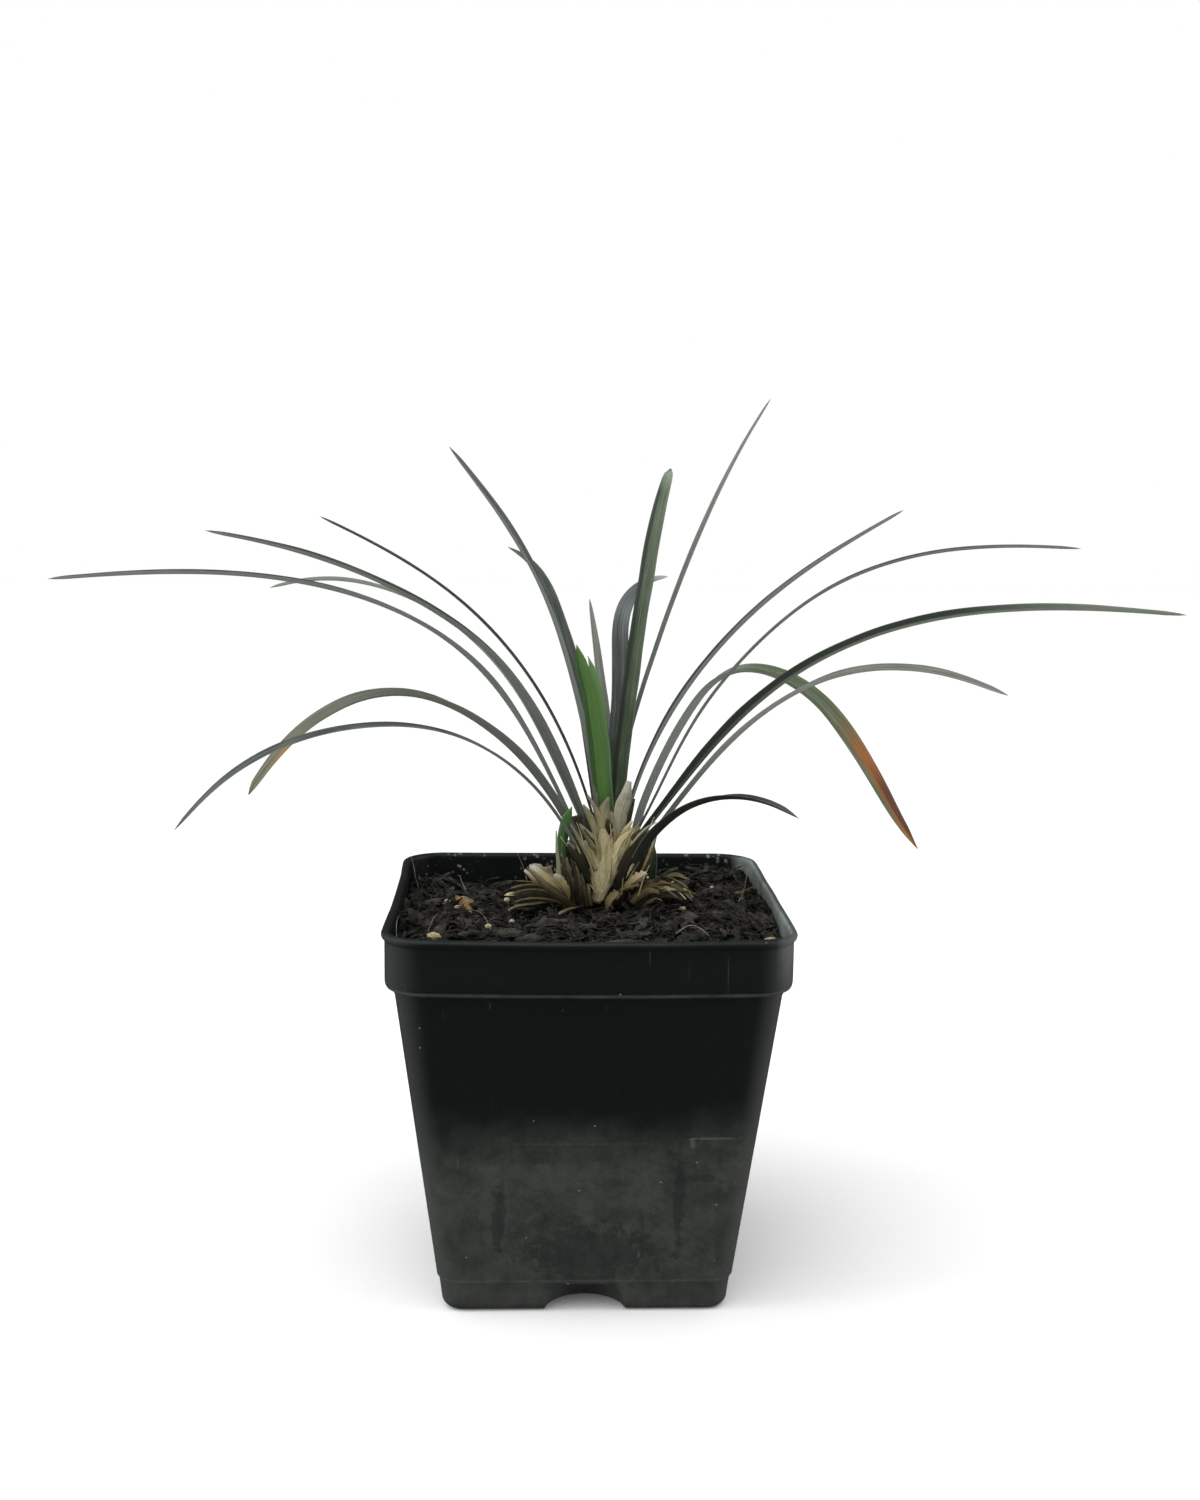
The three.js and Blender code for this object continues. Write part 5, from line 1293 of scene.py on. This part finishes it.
def makeFibreTree():  # fine roots and threads that wander over a ground
    tree, given, result = newTree("fibres", [
        ("Density", "Float", 1000.0), ("Shortest", "Float", 0.004), ("Longest", "Float", 0.012),
        ("Thickness", "Float", 0.00012), ("Wander", "Float", 0.003), ("Wander Scale", "Float", 120.0),
        ("Tilt", "Float", 0.4), ("Rise", "Float", 0.0), ("Seed", "Int", 1), ("Material", "Material", None)])
    spots = addNode(tree, "GeometryNodeDistributePointsOnFaces", {"Mesh": given["Geometry"],
                    "Density": given["Density"], "Seed": given["Seed"]})
    line = addNode(tree, "GeometryNodeCurvePrimitiveLine", {"Start": (-0.5, 0, 0), "End": (0.5, 0, 0)})
    line = addNode(tree, "GeometryNodeResampleCurve", {"Curve": line, "Count": 9})
    length = addNode(tree, "FunctionNodeRandomValue", {"Min": given["Shortest"], "Max": given["Longest"],
                     "Seed": given["Seed"]}, data_type="FLOAT")
    turn = randomTurn(tree, given, "Y", given["Seed"])
    placed = addNode(tree, "GeometryNodeInstanceOnPoints", {"Points": spots, "Instance": line,
                     "Rotation": turn, "Scale": length})
    real = addNode(tree, "GeometryNodeRealizeInstances", {"Geometry": placed})
    push = randomPush(tree, given["Wander Scale"], 2.0, given["Wander"])
    raised = addNode(tree, "ShaderNodeCombineXYZ", {"Z": given["Rise"]})
    push = addNode(tree, "ShaderNodeVectorMath", {0: push, 1: raised}, operation="ADD")
    bent = addNode(tree, "GeometryNodeSetPosition", {"Geometry": real, "Offset": push})
    profile = addNode(tree, "GeometryNodeCurvePrimitiveCircle", {"Resolution": 4,
                      "Radius": given["Thickness"]})
    tubes = addNode(tree, "GeometryNodeCurveToMesh", {"Curve": bent, "Profile Curve": profile,
                    "Fill Caps": True})
    finished = addNode(tree, "GeometryNodeSetMaterial", {"Geometry": tubes, "Material": given["Material"]})
    setInputs(tree, result, {0: finished})
    return tree


def pressInside(piece):  # ends that would pass through the pot's wall are pressed against it
    half, corner = [(size(soil["level"]) - 0.8) * mm for size in (insideHalf, insideCorner)]
    for vertex in piece.data.vertices:
        x, y = vertex.co.x, vertex.co.y
        away = Vector((max(abs(x) - half + corner, 0), max(abs(y) - half + corner, 0)))
        over = away.length - corner
        if over > 0:
            away *= (corner + 0.05 * over) / away.length
            vertex.co.x = math.copysign(min(abs(x), half - corner) + away.x, x)
            vertex.co.y = math.copysign(min(abs(y), half - corner) + away.y, y)


# Single bits that lie on the mix: x, y, length, width, height in mm, heading and tilt in degrees
lumps = {
    "barkBits": [(-20, -22, 9, 3.4, 2.2, 14, 4), (-16.5, -0.5, 5.6, 2.2, 1.4, 10, 0),
        (-9.8, -16.6, 11.5, 2.8, 2, 16, 3), (0.4, -20.4, 6.6, 3.2, 2, 35, 0),
        (-43.4, -10.6, 8.5, 3.4, 1.8, 108, 10), (-37, -17, 4.8, 2.8, 1.6, 45, 5),
        (36.8, 14.6, 9.5, 3.4, 2.6, 92, 24), (25.2, -15, 8, 4.6, 3, 60, 8),
        (29.1, -24.4, 4.4, 0.9, 0.6, 70, 20), (12, -27, 7, 3.6, 2, -20, 4), (-30, -28, 6, 2.4, 1.6, 30, 6),
        (34, 4, 6.5, 3.8, 2.6, 20, 6), (-26, 27, 6, 2.2, 1.5, 5, 4), (-27, -3.6, 5.4, 1.5, 1.1, 117, 6),
        (14, -18, 8, 2.6, 2, 70, 14), (-40, 4, 7, 3, 2, 20, 8), (8, -34, 9, 3, 2, 12, 4),
        (38, -6, 7, 2.4, 1.8, 130, 8), (-14, -30, 7, 3, 2, -15, 5), (30, 30, 8, 3.4, 2.4, 40, 8),
        (26, 24, 6, 4, 3, 100, 12)],
    "rustBits": [(-31.4, 4.8, 11.5, 2.6, 2, 117, 17), (16, 7.4, 4, 0.9, 0.7, 20, 20),
        (21, 4.6, 3, 0.8, 0.6, -20, 10)],
    "tanBits": [(42.8, 14.4, 7.4, 2.6, 1.2, 32, 3), (24.9, -12.9, 3.2, 2, 1, 20, 6),
        (-19.6, -3.7, 2.2, 1.4, 1.1, 30, 0), (20.5, 16, 3.4, 1.2, 0.8, -10, 4)],
    "creamGrains": [(-36.6, 9, 5, 1.6, 1.4, 43, 6), (-33.4, 3, 1.5, 1.3, 1.1, 0, 0),
        (-20.4, 4, 1.8, 1.5, 1.4, 20, 0), (-20.2, 6.8, 1.7, 1.3, 1.1, 60, 0),
        (-19.5, 1.1, 1.4, 1.1, 1, 0, 0), (-8.1, -5.2, 1.4, 1.1, 1, 40, 0),
        (-24.8, -20.8, 1.7, 1.5, 1.3, 10, 0), (-38, -28, 3.4, 2, 2.8, 5, 0),
        (44.1, -12.4, 1.8, 1.4, 1.3, 30, 0), (25.7, -2.6, 2.2, 1.5, 1.2, 10, 0),
        (44.6, -30.6, 2.8, 1, 0.8, 0, 4), (35.5, 19.6, 1.5, 1, 2.2, 0, 0),
        (-18.9, -14.9, 1.3, 1.1, 1, 0, 0)],
}
# Bits scattered by the lumps' tree, the fibres after them; sizes and distances in metres
bitInputs = ("Density", "Smallest", "Largest", "Tilt", "Detail", "Lumpiness", "Lump Scale", "Rise", "Seed")
scattered = {
    "peatCrumbs": ("crumb", 420000.0, (0.0008, 0.0006, 0.0005), (0.0026, 0.0018, 0.0015), 1.2, 1, 0.0007,
                   700.0, 0.0001, 3),
    "barkChips": ("bark", 50000.0, (0.0025, 0.0012, 0.0005), (0.01, 0.0034, 0.0014), 0.75, 2, 0.0018,
                  420.0, 0.0006, 8),
    "barkSlivers": ("bark", 170000.0, (0.0025, 0.0003, 0.0002), (0.008, 0.0009, 0.0005), 0.6, 1, 0.0006,
                    300.0, 0.0007, 21),
    "paleSlivers": ("pale", 9000.0, (0.0015, 0.0003, 0.0002), (0.006, 0.0009, 0.0005), 0.5, 1, 0.0006,
                    300.0, 0.0009, 33),
    "creamBits": ("cream", 900.0, (0.0007, 0.0006, 0.0005), (0.0017, 0.0013, 0.001), 1.0, 1, 0.0005,
                  700.0, 0.0008, 5),
}
fibres = {"Density": 48000.0, "Shortest": 0.004, "Longest": 0.013, "Thickness": 0.00009, "Wander": 0.009,
          "Wander Scale": 110.0, "Tilt": 0.25, "Rise": 0.0009, "Seed": 13}


def makeLumps(name, bits, material, roughness):
    pieces, count, sides = [], 7, 9
    for order, (x, y, length, width, height, heading, tilt) in enumerate(bits):
        turn = Matrix.Rotation(math.radians(heading), 3, "Z") @ Matrix.Rotation(math.radians(-tilt), 3, "Y")
        middle = Vector((x, y, soilHeight(x, y) + crumbly(x, y) + 0.9 + height * 0.3))
        rings = []
        for k in range(count):
            angle = math.pi * (k + 0.4) / (count - 0.2)
            rings.append([])
            for j in range(sides):
                a = 2 * math.pi * j / sides
                spot = Vector((-math.cos(angle) * length, math.sin(angle) * math.cos(a) * width,
                               math.sin(angle) * math.sin(a) * height)) / 2
                rough = 1 + roughness * noise.noise(spot * 0.8 + Vector((order * 7.1, len(bits), 0)))
                rings[-1].append(turn @ (spot * rough) + middle)
        pieces.append(loft("lump", rings, False))
    piece = joinPieces(name, pieces)
    piece.data.materials.append(material)
    return piece


def makeSoilBits(ground):
    skins = {name: soilMaterial(*look) for name, look in {
        "crumb": ("peatCrumb", "#060605", "#12110f", "#24221e", 0.95),
        "bark": ("barkChip", "#080807", "#1e1d1a", "#4b4940"),
        "grey": ("greyBark", "#171614", "#302f2b", "#514f48"),
        "rust": ("rustBark", "#44331c", "#745b35", "#9a8050"),
        "pale": ("paleBark", "#2b221b", "#4a3b2a", "#7a6a4c"),
        "root": ("rootSkin", "#1f1d1a", "#3b3833", "#625d54"),
        "cream": ("creamGrit", "#8d8260", "#b5ab84", "#d8d2b6")}.items()}
    for name, skin, roughness in (("barkBits", "grey", 0.75), ("tanBits", "pale", 0.4),
                                  ("creamGrains", "cream", 0.3), ("rustBits", "rust", 0.12)):
        settle(makeLumps(name, lumps[name], skins[skin], roughness), "potting_mix")
    bitTree, fibreTree = makeScatterTree(), makeFibreTree()
    batches = [(name, bitTree, skin, dict(zip(bitInputs, row))) for name, (skin, *row) in scattered.items()]
    for name, tree, skin, values in batches + [("rootFibres", fibreTree, "root", fibres)]:
        piece = addObject(name, ground.data.copy())
        giveNodes(piece, tree, {**values, "Material": skins[skin]})
        pressInside(piece)
        settle(piece, "potting_mix")
    bpy.data.objects.remove(ground)
    print("soil and bits made")


makeSoilBits(makeSoil())


twig = {"line": [(15.2, 4.2, 91.5), (16, 4.9, 94.6), (16.8, 5.4, 97.5), (18.4, 6.3, 99.9),
                 (20.5, 7.4, 101.6), (22.7, 8.7, 102.7), (25, 10, 103.2)],
        "radius": 0.6, "steps": 34, "sides": 10}
husk = {"place": (-31.5, 13), "size": (7, 3.6, 1.8), "heading": 115, "rings": 16, "sides": 20}
threadSteps = 18
threads = [  # fine pale roots that stand up at the edge of the mix: points in mm, radius
    ([(38.4, -3.0, 95), (40.4, -1.6, 97.4), (41.6, -1.4, 100.4), (41.9, -2.6, 103.6),
      (42.1, -3.3, 107)], 0.11),
    ([(-45, 30, 92.7), (-46, 30.2, 96.4), (-46.4, 30, 99), (-47.0, 29.6, 101.7)], 0.09),
    ([(-46.7, -33, 95), (-47, -28, 97.6), (-46.8, -22, 98), (-46.4, -16.4, 95.6)], 0.07),
    ([(21.4, -29.5, 95.6), (24.5, -31.4, 98.1), (27.0, -31.8, 97.6), (29.6, -31.6, 95.4)], 0.16),
    ([(-14.8, 18, 96), (-15.6, 18.6, 100), (-16.8, 19.4, 103), (-17.8, 20, 105)], 0.06),
    ([(-31.5, 16, 95.5), (-33, 22, 97), (-33.6, 30, 96.4), (-34.6, 37, 95)], 0.07),
    ([(-39.6, -24, 94.6), (-38.4, -20, 97), (-37.6, -15, 96.8), (-37.8, -10, 95)], 0.06),
    ([(-24, -24, 95), (-26, -18, 97.2), (-28.4, -12, 97), (-30, -6, 95.2)], 0.06),
]


def sweep(name, line, radii, sides):  # a closed tube along a line of points
    line = [Vector(p) for p in line]
    rings, side = [], None
    for k, point in enumerate(line):
        along = (line[min(k + 1, len(line) - 1)] - line[max(k - 1, 0)]).normalized()
        side = along.orthogonal() if side is None else side - along * side.dot(along)
        side.normalize()
        other = along.cross(side)
        rings.append([point + (side * math.cos(a) + other * math.sin(a)) * radii[k]
                      for a in (2 * math.pi * j / sides for j in range(sides))])
    return loft(name, rings)


def makeTwig():
    steps = twig["steps"]
    radii = [twig["radius"] * (1.0 - 0.35 * k / steps) * (1 + 0.18 * noiseAt(k * 0.7, 2, 2))
             for k in range(steps + 1)]
    piece = sweep("deadTwig", smoothLine(twig["line"], steps), radii, twig["sides"])
    piece.data.materials.append(soilMaterial("twigBark", "#1a1710", "#38332a", "#5f7354"))
    settle(piece, "dead_wood", "twig")


def makeHusk():  # a ridged hull, closed at both ends
    x, y = husk["place"]
    length, width, height = husk["size"]
    count, sides, rings = husk["rings"], husk["sides"], []
    turn = Matrix.Rotation(math.radians(husk["heading"]), 3, "Z")
    for k in range(count):
        angle = math.pi * (k + 0.35) / (count - 0.3)
        rings.append([])
        for j in range(sides):
            a = 2 * math.pi * j / sides
            ridge = 1 + 0.1 * math.cos(4 * a)
            spot = Vector((-math.cos(angle) * length / 2, math.sin(angle) * math.cos(a) * width / 2 * ridge,
                           math.sin(angle) * math.sin(a) * height / 2 * ridge))
            rings[-1].append(turn @ spot + Vector((x, y, soilHeight(x, y) + height * 0.4)))
    piece = loft("seedHusk", rings)
    piece.data.materials.append(papers["straw"])
    storeRingUv(piece, count, sides, 1, 1)
    settle(piece, "dead_wood", "husk")


def makeThreads():
    steps = threadSteps
    pieces = [sweep("thread", smoothLine(line, steps), [radius * (1.1 - 0.5 * k / steps)
                    for k in range(steps + 1)], 6) for line, radius in threads]
    piece = joinPieces("paleThreads", pieces)
    piece.data.materials.append(soilMaterial("paleRoot", "#5c574a", "#8f8a79", "#b9b4a3"))
    settle(piece, "dry_sheath")


makeTwig()
makeHusk()
makeThreads()
print("twig, husk and threads made")


studio = {
    "paper": "#fbfbfb", "air": "#ffffff", "airLight": 0.55,
    "airGloss": (0.08, 0.7),  # how bright gloss finds the room ahead and to the sides
    "sky": {"power": 1.9, "spread": 75, "tilt": (24, -14)},  # one broad soft light from above, in degrees
    "lights": [  # name, place in metres, size in metres, power in watts
        ("leftSoftbox", (-0.9, -0.2, 0.75), (0.5, 0.8), 3.5),
        ("rightSoftbox", (0.9, -0.2, 0.75), (0.5, 0.8), 2.5),
    ],
    "aim": (0, 0, 0.1),
    "floorReach": 3000,  # mm
}


def makeAir():
    world = bpy.data.worlds.new("studio")
    scene.world = world
    world.use_nodes = True
    tree = world.node_tree
    # the room is dim where gloss would mirror it, and pale where it is looked at
    ray = addNode(tree, "ShaderNodeLightPath").outputs
    generated = addNode(tree, "ShaderNodeTexCoord").outputs["Generated"]
    way = addNode(tree, "ShaderNodeSeparateXYZ", {"Vector": generated})
    sideways = addNode(tree, "ShaderNodeMath", {0: way}, operation="ABSOLUTE")
    ahead, aside = studio["airGloss"]
    mirrored = addNode(tree, "ShaderNodeMapRange", {"Value": sideways, 1: 0.45, 2: 0.95, 3: ahead, 4: aside})
    lit = addNode(tree, "ShaderNodeMix", {0: ray["Is Glossy Ray"], 2: studio["airLight"], 3: mirrored})
    strength = addNode(tree, "ShaderNodeMix", {0: ray["Is Camera Ray"], 2: lit, 3: 1.0})
    setInputs(tree, tree.nodes["Background"], {"Color": linear(studio["air"]), "Strength": strength})


def makeFloor():
    reach = studio["floorReach"]
    corners = ((-reach, -reach, 0), (reach, -reach, 0), (reach, reach, 0), (-reach, reach, 0))
    floor = meshObject("paleFloor", corners, [(0, 1, 2, 3)], False)
    floor.visible_glossy = False
    material, tree, shader = newMaterial("palePaper")
    setInputs(tree, shader, {"Base Color": linear(studio["paper"]), "Roughness": 0.9})
    floor.data.materials.append(material)


def makeLights():
    data = bpy.data.lights.new("broadSky", "SUN")
    data.energy = studio["sky"]["power"]
    data.angle = math.radians(studio["sky"]["spread"])
    addObject("broadSky", data).rotation_euler = (*map(math.radians, studio["sky"]["tilt"]), 0)
    for name, place, size, power in studio["lights"]:
        data = bpy.data.lights.new(name, "AREA")
        data.shape = "RECTANGLE"
        data.size, data.size_y = size
        data.energy = power
        light = addObject(name, data)
        light.location = place
        light.rotation_euler = (Vector(studio["aim"]) - Vector(place)).to_track_quat("-Z", "Y").to_euler()


makeAir()
makeFloor()
makeLights()
scene.view_settings.view_transform = "Standard"  # the plain transform keeps the pale paper pale
print("studio lit")
